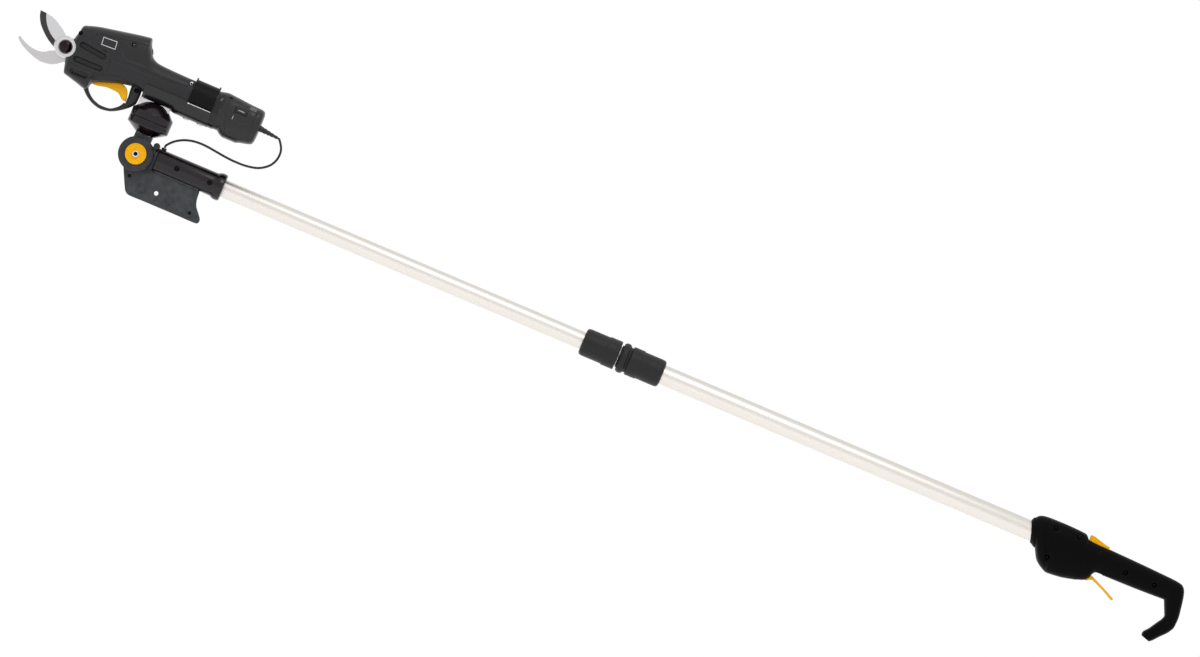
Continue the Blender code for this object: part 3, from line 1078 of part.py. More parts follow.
def make_blades(looks, pruner, blade_frame):
    """Counter blade, cutting blade with its gear sector, and the bolt and nut that hold them."""
    low = -FIT / 2 - COUNTER_THICKNESS
    outline = arc(BLADE_BOSS_R - 1.6 * MM, -45, 150, 10) + scaled([
        (-30.0, 8.5), (-30.0, -13.5), (-16.0, -14.5),
    ])
    outline = outline + scaled(list(reversed(COUNTER_LOWER))) + scaled(list(reversed(COUNTER_UPPER)))
    counter = piece("counter_blade", prism(outline, low, -FIT / 2), looks["steel"], pruner, (PIVOT_X, 0, 0))
    hole = tool(
        "counter_hole", rod("Y", -40 * MM, 40 * MM, BLADE_BOLT_R + FIT, steps=20), pruner,
        (PIVOT_X, 0, 0),
    )
    cut(counter, hole)

    start, end = 175.0, 237.0
    boss = arc(BLADE_BOSS_R, 74, start, 8) + arc(SECTOR_R, start, end, 14) + arc(BLADE_BOSS_R, end, 330, 8)
    outline = boss + scaled(CUTTING_EDGE[1:]) + scaled(CUTTING_BACK)
    blade = piece("cutting_blade", prism(outline, FIT / 2, BLADE_FACE), looks["steel"], blade_frame)
    cap = turned([(BLADE_FACE - 0.5 * MM, 0), (BLADE_FACE - 0.5 * MM, BLADE_BOSS_R), (
        BLADE_FACE + 2.2 * MM, BLADE_BOSS_R,
    ),
                  (BLADE_FACE + 2.8 * MM, BLADE_BOSS_R - 0.8 * MM),
                  (BLADE_FACE + 2.8 * MM, 0)], "Y", steps=32)
    join(blade, tool("blade_boss", cap, blade_frame))
    pitch = 360.0 / SECTOR_TEETH
    count = int((end - start) / pitch)
    for k in range(count):
        angle = math.radians(start + pitch * (k + 1) - 5.0)
        if angle > math.radians(end - 1.0):
            break
        inner, outer = SECTOR_PITCH_R - 3.4 * MM, SECTOR_R - 0.3 * MM
        w = TOOTH_WIDTH / 2
        tooth = bmesh.new()
        base = [(inner, -w * 1.15), (outer, -w * 1.15), (outer, w * 1.15), (inner, w * 1.15)]
        top = [(inner, -w * 0.7), (outer, -w * 0.7), (outer, w * 0.7), (inner, w * 0.7)]
        near = [tooth.verts.new((x, BLADE_FACE - 0.5 * MM, z)) for x, z in base]
        far = [tooth.verts.new((x, BLADE_FACE + TOOTH_HEIGHT, z)) for x, z in top]
        tooth.faces.new(near)
        tooth.faces.new(reversed(far))
        for i in range(4):
            j = (i + 1) % 4
            tooth.faces.new((near[i], near[j], far[j], far[i]))
        bmesh.ops.transform(tooth, matrix=Matrix.Rotation(-angle, 4, "Y"), verts=tooth.verts)
        join(blade, tool(f"sector_tooth_{k}", tooth, blade_frame))
    hole = tool("blade_hole", rod("Y", -40 * MM, 40 * MM, BLADE_BOLT_R + RUN, steps=20), blade_frame)
    cut(blade, hole)
    cut(
        blade,
        tool("boss_recess", rod("Y", BLADE_FACE + 1.6 * MM, 40 * MM, 9.2 * MM, steps=24), blade_frame),
    )

    under = low - FIT
    bolt = [
        (under - 4.6 * MM, 0), (under - 4.6 * MM, 5.5 * MM), (under - 3.4 * MM, 8.0 * MM),
        (under, 8.0 * MM), (under, BLADE_BOLT_R),
        (BLADE_FACE + 6.0 * MM, BLADE_BOLT_R), (BLADE_FACE + 6.0 * MM, 0),
    ]
    piece("blade_bolt", turned(bolt, "Y", steps=24), looks["bolt"], pruner, (PIVOT_X, 0, 0))
    seat = BLADE_FACE + 1.6 * MM + FIT
    top = BLADE_FACE + 9.2 * MM
    nut = [
        (seat, BLADE_BOLT_R + FIT), (seat, 8.5 * MM), (seat + 3.0 * MM, 8.5 * MM),
        (seat + 5.4 * MM, 7.0 * MM), (top - 0.6 * MM, 4.4 * MM),
        (top, 0), (BLADE_FACE + 6.0 * MM + FIT, 0), (BLADE_FACE + 6.0 * MM + FIT, BLADE_BOLT_R + FIT),
    ]
    piece("blade_nut", turned(nut, "Y"), looks["black_bolt"], pruner, (PIVOT_X, 0, 0))


def make_controls(looks, pruner, trigger_frame, button_frame, latch_frame):
    """Finger trigger, power button and the latch of the battery case."""
    half = FINGER_TRIGGER_WIDTH / 2
    trigger = prism(scaled(FINGER_TRIGGER_OUTLINE), -half, half)
    trigger = piece("finger_trigger", trigger, looks["yellow"], trigger_frame)
    pivot = rod("Y", -9.2 * MM, 9.2 * MM, 1.6 * MM, steps=14)
    join(trigger, tool("trigger_trunnion", pivot, trigger_frame))
    button = [
        (-4.2 * MM, 0), (-4.2 * MM, BUTTON_R), (0.2 * MM, BUTTON_R), (0.8 * MM, BUTTON_R - 0.6 * MM),
        (0.8 * MM, 0),
    ]
    button = turned(button, "Z", steps=20)
    bmesh.ops.transform(button, matrix=Matrix.Rotation(math.radians(-61.6), 4, "Y"), verts=button.verts)
    piece("power_button", button, looks["cap_grey"], button_frame)
    latch = block((-8 * MM, 8 * MM), (-3.6 * MM, 0), (-3.6 * MM, 3.6 * MM))
    piece("pack_latch", latch, looks["cap_grey"], latch_frame)


def make_pack(looks, pruner, latch_place):
    """Battery case with its plug in the grip's open end, its cells and the strain relief."""
    case = piece("battery_case", body_of(PACK_STATIONS, 20), looks["cap_grey"], pruner)
    plug = [section(s, 14, WALL + 0.2 * MM + FIT) for s in PRUNER_STATIONS[-2:]]
    ring = lofted([[p + Vector((x, 0, 0)) for p in plug[1]] for x in (10 * MM, -2.0 * MM)])
    join(case, tool("pack_plug", ring, pruner))
    reach = 60 * MM
    core = tool("cell_room", body_of(PACK_ROOM, 14), pruner)
    mouth = tool(
        "plug_mouth", lofted([section((x, 19.0, x, -15.0, 14.2, 2.6), 20) for x in (-55.0, -90.0)]),
        pruner,
    )
    lx, ly, lz = latch_place
    window = block(
        (lx - 8 * MM - RUN, lx + 8 * MM + RUN), (ly - 9 * MM, ly + 9 * MM),
        (lz - 3.6 * MM - RUN, lz + 3.6 * MM + RUN),
    )
    cut(case, core, mouth, tool("latch_window", window, pruner))
    cells = rod("X", 0.0, CELL_LENGTH, CELL_R, (0, CELL_R + 0.05 * MM, CELL_R + 0.05 * MM), 24)
    cells = piece("battery_cells", cells, looks["cells"], pruner, (-128.8 * MM, 0, 0.0))
    for i, (y, z) in enumerate(((1, -1), (-1, 1), (-1, -1))):
        offset = CELL_R + 0.05 * MM
        join(
            cells,
            tool(
                f"cell_{i}", rod("X", 0.0, CELL_LENGTH, CELL_R, (0, y * offset, z * offset), 24), pruner,
                (-128.8 * MM, 0, 0),
            ),
        )
    for i, x in enumerate((-0.4 * MM, CELL_LENGTH - 0.4 * MM)):
        strip = block((x, x + 0.8 * MM), (-13 * MM, 13 * MM), (-13 * MM, 13 * MM))
        join(cells, tool(f"cell_strip_{i}", strip, pruner, (-128.8 * MM, 0, 0)))
    length = (BOOT_TAIL - BOOT_END).length
    relief = [(0, 0), (0, 4.2 * MM), (-1.6 * MM, 4.2 * MM)]
    for k in range(4):
        along = 3.4 * MM + k * 5.2 * MM
        radius = 4.0 * MM - k * 0.45 * MM
        relief += [(-along, radius), (-along - 2.2 * MM, radius - 0.1 * MM), (
            -along - 2.4 * MM, radius - 0.7 * MM,
        ),
                   (-along - 3.2 * MM, radius - 0.7 * MM)]
    relief += [(-length + 1 * MM, 2.2 * MM), (-length, 1.9 * MM), (-length, 0)]
    boot = turned(relief, "X", (0, 0, 0), 12)
    slope = math.atan2(BOOT_TAIL.z - BOOT_END.z, BOOT_TAIL.x - BOOT_END.x)
    bmesh.ops.transform(boot, matrix=Matrix.Rotation(-slope, 4, "Y"), verts=boot.verts)
    piece("strain_relief", boot, looks["lead"], pruner, BOOT_TAIL)
    flat = block((-134.5 * MM - reach, -134.5 * MM + 0.2 * MM), (-reach, reach), (-reach, reach))
    recess = rod("X", BOOT_TAIL.x + 1 * MM, -140 * MM, 4.2 * MM + 2 * FIT, (0, 0, BOOT_TAIL.z), 16)
    cut(case, tool("case_rear_face", flat, pruner), tool("boot_recess", recess, pruner))


def smooth_points(knots, first, last, spacing):
    """Points about spacing apart on a smooth curve between two of the knots, which all guide it."""
    dense = []
    for i in range(first, last):
        a, b, c, d = knots[i - 1 : i + 3]
        for k in range(16):
            t = k / 16
            square = 2 * a - 5 * b + 4 * c - d
            cube = 3 * b - a - 3 * c + d
            dense.append(0.5 * (2 * b + (c - a) * t + square * t**2 + cube * t**3))
    dense.append(knots[last])
    lengths = [0.0]
    for p, q in zip(dense, dense[1:]):
        lengths.append(lengths[-1] + (q - p).length)
    count = round(lengths[-1] / spacing)
    result, index = [], 0
    for k in range(count + 1):
        target = lengths[-1] * k / count
        while index < len(dense) - 2 and lengths[index + 1] < target:
            index += 1
        step = lengths[index + 1] - lengths[index]
        result.append(dense[index].lerp(dense[index + 1], (target - lengths[index]) / step))
    return result


def cord(name, points, radius, material, parent):
    """A round cord along the points, as a curve with a bevel and filled caps."""
    curve = bpy.data.curves.new(name, "CURVE")
    curve.dimensions = "3D"
    curve.bevel_depth = radius
    curve.bevel_resolution = 2
    curve.use_fill_caps = True
    spline = curve.splines.new("POLY")
    spline.points.add(len(points) - 1)
    for slot, point in zip(spline.points, points):
        slot.co = (*point, 1.0)
    curve.materials.append(material)
    obj = bpy.data.objects.new(name, curve)
    obj.parent = parent
    bpy.context.scene.collection.objects.link(obj)
    return obj


def make_lead(looks, extension, pruner):
    """The signal lead in two lengths that meet face to face under the pruner."""
    rise = Vector((0, 0, 2 * LEAD_R))
    start = Vector((INNER_END - 2.0 * MM, 0, GROMMET_TOP + FIT))
    along = (BOOT_END - BOOT_TAIL).normalized()
    end = Vector((HINGE_X, 0, HINGE_Z + GRIP_Z)) + BOOT_END + along * FIT * 1.2
    route = [
        start, start + rise, *[Vector((x * MM, 0.0, z * MM)) for x, z in LEAD_ROUTE],
        end + along * 2 * LEAD_R, end,
    ]
    spacing = 5.0 * LEAD_R
    lower = [start, *smooth_points(route, 1, LEAD_SPLIT, spacing)]
    upper = [*smooth_points(route, LEAD_SPLIT, len(route) - 2, spacing), end]
    length = sum((q - p).length for part in (lower, upper) for p, q in zip(part, part[1:]))
    upper[0] = upper[0] + (upper[1] - upper[0]).normalized() * FIT
    origin = Vector((INNER_START, 0, 0))
    cord("lead_lower", [p - origin for p in lower], LEAD_R, looks["lead"], extension)
    centre = Vector((HINGE_X, 0, HINGE_Z + GRIP_Z))
    cord("lead_upper", [p - centre for p in upper], LEAD_R, looks["lead"], pruner)
    print(f"lead: {length / MM:.0f} mm")


def main():
    cleared_scene()
    looks = make_finishes()
    handle = frame("handle_frame", (0, 0, 0))
    trigger = frame("handle_trigger_frame", (TRIGGER_PIVOT[0], 0, TRIGGER_PIVOT[1]), handle)
    lock_off = frame("lock_off_frame", (LOCK_OFF_PIVOT[0], 0, LOCK_OFF_PIVOT[1]), handle)
    lock = frame("lock_nut_frame", (0, 0, 0), handle)
    extension = frame("extension_frame", (INNER_START, 0, 0), handle)
    knob_x = SOCKET_END + FIT - INNER_START + 5.0 * MM
    knob = frame("knob_frame", (knob_x, 0, 16.6 * MM), extension)
    knuckle = frame("knuckle_frame", (HINGE_X - INNER_START, 0, HINGE_Z), extension)
    pruner = frame("pruner_frame", (0, 0, GRIP_Z), knuckle)
    blade = frame("blade_frame", (PIVOT_X, 0, 0), pruner)
    pinion = frame("pinion_frame", (PIVOT_X - SECTOR_PITCH_R, DRIVE_Y, 0), pruner)
    fx, fz = FINGER_TRIGGER_PIVOT
    finger = frame("finger_trigger_frame", (fx * MM, 0, fz * MM), pruner)
    button = frame("button_frame", (32.3 * MM, 0, 38.2 * MM), pruner)
    latch_place = (-105.5 * MM, 23.6 * MM, 11.6 * MM)
    latch = frame("latch_frame", latch_place, pruner)

    make_pole(looks, handle, extension)
    lock.location.x = make_twist_lock(looks, handle, lock)
    make_handle(looks, handle, trigger, lock_off)
    make_socket(looks, extension, knob)
    make_knuckle(looks, knuckle)
    make_mounting(looks, pruner)
    make_housing(looks, pruner)
    make_drive(looks, pruner, pinion)
    make_blades(looks, pruner, blade)
    make_controls(looks, pruner, finger, button, latch)
    make_pack(looks, pruner, latch_place)
    make_lead(looks, extension, pruner)


main()
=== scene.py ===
# %% [markdown]
# # A cordless pole pruner, dressed for its photograph
#
# The imported CAD model gives every place and size here. This script builds the visible skin of each
# piece round it: fuller forms, rounded edges and real finishes. It loads the frame first.

# %% The fixed frame
import json
import math

import bmesh
import bpy
import numpy as np
from mathutils import Matrix, Vector
from mathutils.geometry import delaunay_2d_cdt


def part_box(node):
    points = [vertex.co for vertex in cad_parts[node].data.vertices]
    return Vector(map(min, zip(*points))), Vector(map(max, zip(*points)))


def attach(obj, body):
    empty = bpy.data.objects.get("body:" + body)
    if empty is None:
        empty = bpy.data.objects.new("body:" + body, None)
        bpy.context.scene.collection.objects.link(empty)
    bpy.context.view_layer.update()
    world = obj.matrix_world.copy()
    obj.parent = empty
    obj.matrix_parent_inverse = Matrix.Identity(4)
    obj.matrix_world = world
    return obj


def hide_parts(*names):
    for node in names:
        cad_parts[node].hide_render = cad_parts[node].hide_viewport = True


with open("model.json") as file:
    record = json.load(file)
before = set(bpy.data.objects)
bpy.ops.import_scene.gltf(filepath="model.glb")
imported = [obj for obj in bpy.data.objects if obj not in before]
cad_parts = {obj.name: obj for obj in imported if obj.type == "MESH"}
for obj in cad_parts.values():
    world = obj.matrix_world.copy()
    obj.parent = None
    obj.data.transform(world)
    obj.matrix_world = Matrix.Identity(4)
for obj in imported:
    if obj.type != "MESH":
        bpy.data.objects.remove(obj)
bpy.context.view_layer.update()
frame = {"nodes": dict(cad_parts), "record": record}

MM = 0.001
nodes = frame["nodes"]

# %% [markdown]
# Three places are used all through: the tilt hinge, the middle of the pruner's grip above it, and
# the bolt that the blades turn on. Each is read from the nodes' own boxes, so it can't drift.

# %% Places that everything is measured from
def middle(node):
    """The middle of a CAD node's box."""
    low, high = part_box(node)
    return (low + high) / 2


HINGE = middle("hub_disc")
BLADE = middle("blade_nut")
GRIP = Vector((HINGE.x, 0.0, BLADE.z))


def at(x, y, z, origin=GRIP):
    """A place in metres, from its millimetres off the grip's middle or off another origin."""
    return origin + Vector((x, y, z)) * MM


print("hinge", [round(v / MM, 1) for v in HINGE], "blade bolt", [round(v / MM, 1) for v in BLADE])

# %% [markdown]
# ## Colour and nodes
#
# Colours are written as the sRGB hex values that a picture shows, and one function turns them to the
# linear values that a shader works in. One more function adds a node with its settings and links,
# and the sums, ranges and mixes that come again and again each get a short name.

# %% Colour and node helpers
def linear(hex_value):
    """A hex colour as the linear red, green, blue and alpha of a shader."""
    channels = [int(hex_value[i : i + 2], 16) / 255 for i in (0, 2, 4)]
    return (*[c / 12.92 if c <= 0.04045 else ((c + 0.055) / 1.055) ** 2.4 for c in channels], 1.0)


def live(sockets, name):
    """The socket in use that has this name or number. A node may hide others of the same name."""
    if isinstance(name, int):
        return sockets[name]
    return next(s for s in sockets if s.name == name and s.enabled)


def wire(tree, node, inputs):
    """Link each input that is given as a socket, and set any other value on it."""
    for name, value in dict(inputs).items():
        if isinstance(value, bpy.types.NodeSocket):
            tree.links.new(value, live(node.inputs, name))
        else:
            live(node.inputs, name).default_value = value


def add(tree, kind, inputs=(), **settings):
    """Add a node with its settings, then its links and values. No other line adds one."""
    made = tree.nodes.new(kind)
    for name, value in settings.items():
        setattr(made, name, value)
    wire(tree, made, inputs)
    return made


def maths(tree, operation, *values):
    """The result of one sum or product."""
    return add(tree, "ShaderNodeMath", dict(enumerate(values)), operation=operation).outputs[0]


def ranged(tree, value, start, end, low=0.0, high=1.0, **settings):
    """A value carried from one range to another."""
    inputs = {"Value": value, "From Min": start, "From Max": end, "To Min": low, "To Max": high}
    return add(tree, "ShaderNodeMapRange", inputs, **settings).outputs["Result"]


def mixed(tree, share, a, b, kind="RGBA"):
    """A mix of two colours or values: all a at a share of 0, and all b at 1."""
    inputs = {"Factor": share, "A": a, "B": b}
    return live(add(tree, "ShaderNodeMix", inputs, data_type=kind).outputs, "Result")


def shaded(name):
    """A new material with its tree and its Principled shader."""
    material = bpy.data.materials.new(name)
    material.use_nodes = True
    return material, material.node_tree, material.node_tree.nodes["Principled BSDF"]


print("white is", linear("ffffff"), "and middle grey", round(linear("808080")[0], 3))


# %% [markdown]
# ## Camera
#
# The photograph looks square at the pole's +Y side from far off, with the frame turned so that the
# pole climbs to the left. A long lens at 12 m gives almost no perspective, as the picture shows.

# %% Camera at the photograph's angle
SLOPE = math.radians(22.98)
VIEW_WIDTH = 1.56
DISTANCE = 12.0
SENSOR = 36.0
PICTURE_MIDDLE = Vector((0.7697, 0.0, 0.0235))
right = Vector((-math.cos(SLOPE), 0.0, math.sin(SLOPE)))
up = Vector((math.sin(SLOPE), 0.0, math.cos(SLOPE)))
back = Vector((0.0, 1.0, 0.0))
camera = bpy.data.objects.new("camera", bpy.data.cameras.new("camera"))
camera.data.sensor_width = SENSOR
camera.data.lens = SENSOR * DISTANCE / VIEW_WIDTH
camera.data.clip_end = 100.0
turn = Matrix((right, up, back)).transposed().to_4x4()
camera.matrix_world = Matrix.Translation(PICTURE_MIDDLE + back * DISTANCE) @ turn
bpy.context.scene.collection.objects.link(camera)
bpy.context.scene.camera = camera
bpy.context.scene.view_settings.view_transform = "Standard"
print("lens", round(camera.data.lens), "mm")

# %% [markdown]
# ## Light
#
# A product photographer lights such a tool with large soft sources, in front of white paper. What the
# camera sees round the tool, what a polished face mirrors and what shows through are all that white.
# The surfaces that scatter light get soft sheets instead: one in front, two above, a narrow strip and
# one behind, over a dim rest. One soft lamp gives the shadows a direction.

# %% World, lamp and floor
world = bpy.data.worlds.new("studio")
world.use_nodes = True
tree = world.node_tree
tree.nodes.clear()
direction = add(tree, "ShaderNodeTexCoord").outputs["Generated"]
REST = 0.24
FLOOR_Z = -0.5
FLOOR_GLOW = 0.6


def towards(way, start, end, strength):
    """A soft sheet of light in the direction way. Start and end are cosines from its middle."""
    inputs = {0: direction, 1: Vector(way).normalized()}
    dot = add(tree, "ShaderNodeVectorMath", inputs, operation="DOT_PRODUCT").outputs["Value"]
    return ranged(tree, dot, start, end, 0.0, strength, interpolation_type="SMOOTHSTEP")


def meets_backdrop(tree):
    """One for the rays that meet the white backdrop: the camera's, reflected and see-through ones."""
    path = add(tree, "ShaderNodeLightPath")
    seen = path.outputs["Is Camera Ray"]
    for ray in ("Is Glossy Ray", "Is Transmission Ray"):
        seen = maths(tree, "ADD", seen, path.outputs[ray])
    return seen


front = towards((0.0, 1.0, 0.0), 0.1, 0.95, 0.46)
above = towards((0.1, 0.62, 0.78), 0.72, 0.9, 0.4)
overhead = towards((0.0, -0.2, 1.0), 0.1, 0.9, 0.34)
strip = towards((0.127, 0.945, 0.3), 0.98, 0.995, 3.4)
behind = towards((0.0, -1.0, 0.0), 0.75, 0.97, 1.0 - REST)
sheets = REST
for sheet in (front, above, overhead, strip, behind):
    sheets = maths(tree, "ADD", sheets, sheet)
level = mixed(tree, meets_backdrop(tree), sheets, 1.0, "FLOAT")
backdrop = add(tree, "ShaderNodeBackground", {"Color": (1.0, 1.0, 1.0, 1.0), "Strength": level})
add(tree, "ShaderNodeOutputWorld", {"Surface": backdrop.outputs["Background"]})
bpy.context.scene.world = world

lamp = bpy.data.objects.new("soft_lamp", bpy.data.lights.new("soft_lamp", "AREA"))
lamp.data.size = 1.3
lamp.data.energy = 17.0
lamp.location = (0.9, 2.0, 2.5)
lamp.rotation_euler = (Vector((0.8, 0.0, 0.0)) - lamp.location).to_track_quat("-Z", "Y").to_euler()
bpy.context.scene.collection.objects.link(lamp)

floor_mesh = bmesh.new()
bmesh.ops.create_grid(floor_mesh, x_segments=1, y_segments=1, size=4.0)
data = bpy.data.meshes.new("floor")
floor_mesh.to_mesh(data)
floor_mesh.free()
data.transform(Matrix.Translation((0.75, 0.0, FLOOR_Z)))
floor = bpy.data.objects.new("floor", data)
paper = bpy.data.materials.new("floor_paper")
paper.use_nodes = True
tree = paper.node_tree
tree.nodes.clear()
diffuse = add(tree, "ShaderNodeBsdfDiffuse", {"Color": linear("f2f2f2")})
lift = maths(tree, "MULTIPLY", meets_backdrop(tree), FLOOR_GLOW)
glow = add(tree, "ShaderNodeEmission", {"Strength": lift})
both = add(tree, "ShaderNodeAddShader", {0: diffuse.outputs[0], 1: glow.outputs[0]})
add(tree, "ShaderNodeOutputMaterial", {"Surface": both.outputs[0]})
data.materials.append(paper)
bpy.context.scene.collection.objects.link(floor)
print("lamp", lamp.data.energy, "W, floor at", FLOOR_Z, "m")

# %% [markdown]
# ## Finishes
#
# A moulded nylon is dark through and through. Glass fibre and the spark-eroded mould give it a fine
# grain that spreads the highlight. Here a noise of the grain's real size drives the bump, and a much
# wider one shifts colour and gloss a little, as handling does.

# %% Moulded plastics and rubber
def noise(tree, place, size, detail):
    """A noise whose grain has the given size in millimetres."""
    inputs = {"Vector": place, "Scale": 1 / (size * MM), "Detail": detail}
    return add(tree, "ShaderNodeTexNoise", inputs).outputs["Fac"]


def bumped(tree, height, depth):
    """A bump of the given depth in millimetres."""
    return add(tree, "ShaderNodeBump", {"Height": height, "Distance": depth * MM}).outputs["Normal"]


def worn(tree, marks, roughness):
    """A roughness that wanders a little either way with the marks."""
    return ranged(tree, marks, 0.3, 0.7, roughness - 0.05, roughness + 0.05)


def moulded(name, colour, roughness, grain=0.45, depth=0.03, specular=0.3, mottle=0.12):
    """A moulded finish. The grain's size and depth are in millimetres."""
    material, tree, shader = shaded(name)
    place = add(tree, "ShaderNodeTexCoord").outputs["Object"]
    wide = noise(tree, place, 22, 4.0)
    dark, pale = [(*[min(1.0, c * m) for c in linear(colour)[:3]], 1.0) for m in (1 - mottle, 1 + mottle)]
    wire(tree, shader, {
        "Base Color": mixed(tree, wide, dark, pale),
        "Roughness": worn(tree, wide, roughness),
        "Normal": bumped(tree, noise(tree, place, grain, 2.0), depth),
        "Specular IOR Level": specular,
    })
    return material


# Glass-filled nylon of the hand grip: nearly black, dull, with a spark-eroded grain.
handle_nylon = moulded("handle_nylon_textured", "050505", 0.46, 0.7, 0.04, 0.05)
# Plain nylon of the twist lock: smoother, charcoal.
lock_nylon = moulded("lock_nylon_plain", "1e1e1f", 0.48, 0.5, 0.015, 0.25)
# Textured nylon of the pruner's housing: dark grey.
housing_nylon = moulded("housing_nylon_textured", "262628", 0.4, 0.7, 0.05, 0.25)
# The cap and battery case: the same nylon, slightly darker and closer grained.
cap_nylon = moulded("cap_nylon_textured", "252527", 0.36, 0.6, 0.04, 0.3)
cradle_nylon = moulded("cradle_nylon_plain", "121114", 0.28, 0.6, 0.01, 0.4)
strap_nylon = moulded("strap_nylon_plain", "0a080a", 0.4, 0.6, 0.02, 0.12)
# Nylon of the swivel drum and the pole socket: from a polished mould, so it mirrors the studio.
gloss_black_nylon = moulded("gloss_black_nylon_polished", "110910", 0.17, 0.9, 0.001, 0.35, 0.1)
# Levers and disc: yellow through the whole thickness, half gloss, as a polished mould leaves it.
yellow_nylon = moulded("yellow_nylon_half_gloss", "f7b400", 0.38, 0.8, 0.01, 0.14, 0.05)
# Soft rubber of the boot and grommet.
lead_rubber = moulded("lead_rubber_smooth", "191615", 0.42, 0.8, 0.01, 0.4)
# Pale grey marks let into the battery case; the same grey also paints a glint on its hinge pin.
case_grey = moulded("case_grey_inlay_and_glint", "a9a7a9", 0.45, 0.8, 0.01, 0.3, 0.03)
bush_acetal = moulded("bush_acetal_white", "d6d3c9", 0.45, 0.8, 0.01, 0.4, 0.04)
board_laminate = moulded("board_laminate_green", "1f6b3a", 0.35, 0.5, 0.01, 0.5, 0.05)
cell_sleeve = moulded("cell_sleeve_shrunk", "16202c", 0.3, 0.8, 0.01, 0.5, 0.05)
print(len(bpy.data.materials), "materials so far")

# %% [markdown]
# Metals show how they were made. The tubes are drawn, which leaves faint lines along them. The blade
# is ground across, and its cutting side carries a dark coating. The hinge wheels and the bracket are
# cast and then coated, so they look slightly cloudy.

# %% Metals
def metal(name, colour, roughness, stretch=(1.0, 1.0, 1.0), line=0.8, depth=0.004):
    """A bare metal with its working marks drawn out along an axis by stretch."""
    material, tree, shader = shaded(name)
    place = add(tree, "ShaderNodeTexCoord").outputs["Object"]
    drawn = add(tree, "ShaderNodeMapping", {"Vector": place, "Scale": stretch}).outputs["Vector"]
    marks = noise(tree, drawn, line, 3.0)
    wire(tree, shader, {
        "Base Color": linear(colour),
        "Metallic": 1.0,
        "Roughness": worn(tree, marks, roughness),
        "Normal": bumped(tree, marks, depth),
    })
    return material


def cast(name, colour, patch, roughness):
    """A coated casting: cloudy patches over a slightly pitted skin."""
    material, tree, shader = shaded(name)
    place = add(tree, "ShaderNodeTexCoord").outputs["Object"]
    share = ranged(tree, noise(tree, place, 7, 5.0), 0.38, 0.66)
    wire(tree, shader, {
        "Base Color": mixed(tree, share, linear(colour), linear(patch)),
        "Metallic": 0.25,
        "Roughness": roughness,
        "Normal": bumped(tree, noise(tree, place, 1.1, 3.0), 0.06),
    })
    return material


# Anodised aluminium tube, drawn: satin, with hair lines along the pole.
pole_aluminium = metal("pole_aluminium_satin", "dbd6d0", 0.4, (0.02, 1.0, 1.0), 0.8, 0.006)
saddle_alloy = metal("saddle_alloy_milled", "c9c5c8", 0.42, (0.05, 1.0, 1.0), 0.6, 0.01)
bright_bolt = metal("bright_bolt_zinc", "cfcfd2", 0.28, line=0.7, depth=0.008)
black_bolt = metal("black_bolt_oxide", "1d171b", 0.32, line=0.7, depth=0.006)
dark_chrome = metal("dark_chrome_nut", "2b2325", 0.16, line=0.7, depth=0.002)
coated_steel = metal("coated_steel_phosphate", "505052", 0.42, line=0.5, depth=0.01)
# Powder-coated castings: blue-grey and slightly cloudy.
cast_wheel = cast("cast_wheel_coated", "1d1e22", "2a2c31", 0.4)
bracket_cast = cast("bracket_cast_coated", "272a2c", "383c3f", 0.46)
print(len(bpy.data.materials), "materials")

# %% [markdown]
# The cutting blade carries a dark coating in a band along its curved edge, and bare ground steel
# behind that. The edge is very nearly part of a circle, so the shader tells the band from the bare
# steel by the distance from that circle's centre, and leaves out the round hub.

# %% Blade steel
EDGE = [(12.9, -6.9), (25.5, 0.2), (34.9, 7.9), (41.6, 15.0), (46.5, 23.8), (48.5, 31.2)]


def circle_through(a, b, c):
    """Centre and radius of the circle through three points."""
    (ax, az), (bx, bz), (cx, cz) = a, b, c
    d = 2 * (ax * (bz - cz) + bx * (cz - az) + cx * (az - bz))
    squares = [px * px + pz * pz for px, pz in (a, b, c)]
    x = (squares[0] * (bz - cz) + squares[1] * (cz - az) + squares[2] * (az - bz)) / d
    z = (squares[0] * (cx - bx) + squares[1] * (ax - cx) + squares[2] * (bx - ax)) / d
    return (x, z), math.hypot(ax - x, az - z)


def ground_steel(name, bare, coat, band):
    """Ground steel with a coated band, its width in millimetres, along the cutting edge."""
    material, tree, shader = shaded(name)
    place = add(tree, "ShaderNodeTexCoord").outputs["Object"]
    flat = add(tree, "ShaderNodeVectorMath", {0: place, 1: (1.0, 0.0, 1.0)}, operation="MULTIPLY").outputs[0]

    def away(x, z):
        """Distance in the side view from a place given in millimetres from the blades' bolt."""
        inputs = {0: flat, 1: (BLADE.x + x * MM, 0.0, BLADE.z + z * MM)}
        return add(tree, "ShaderNodeVectorMath", inputs, operation="DISTANCE").outputs["Value"]

    (x, z), radius = circle_through(EDGE[0], EDGE[3], EDGE[5])
    in_band = ranged(tree, away(x, z), (radius - band - 0.3) * MM, (radius - band + 0.3) * MM)
    off_hub = ranged(tree, away(0.0, 0.0), 15.4 * MM, 15.9 * MM)
    share = maths(tree, "MULTIPLY", in_band, off_hub)
    slant = add(tree, "ShaderNodeMapping", {
        "Vector": place, "Rotation": (0.0, math.radians(38), 0.0), "Scale": (1.0, 1.0, 0.04),
    }).outputs["Vector"]
    wire(tree, shader, {
        "Base Color": mixed(tree, share, linear(bare), linear(coat)),
        "Metallic": ranged(tree, share, 0.0, 1.0, 1.0, 0.25),
        "Roughness": mixed(tree, share, 0.27, 0.5, "FLOAT"),
        "Normal": bumped(tree, noise(tree, slant, 0.9, 3.0), 0.006),
    })
    return material


cutting_steel = ground_steel("cutting_steel_ground", "cccbcd", "2c2928", 8.0)
counter_steel = metal("counter_steel_ground", "c4c1c3", 0.34, (1.0, 1.0, 0.1), 0.9, 0.01)
print("edge radius", round(circle_through(EDGE[0], EDGE[3], EDGE[5])[1], 1), "mm")

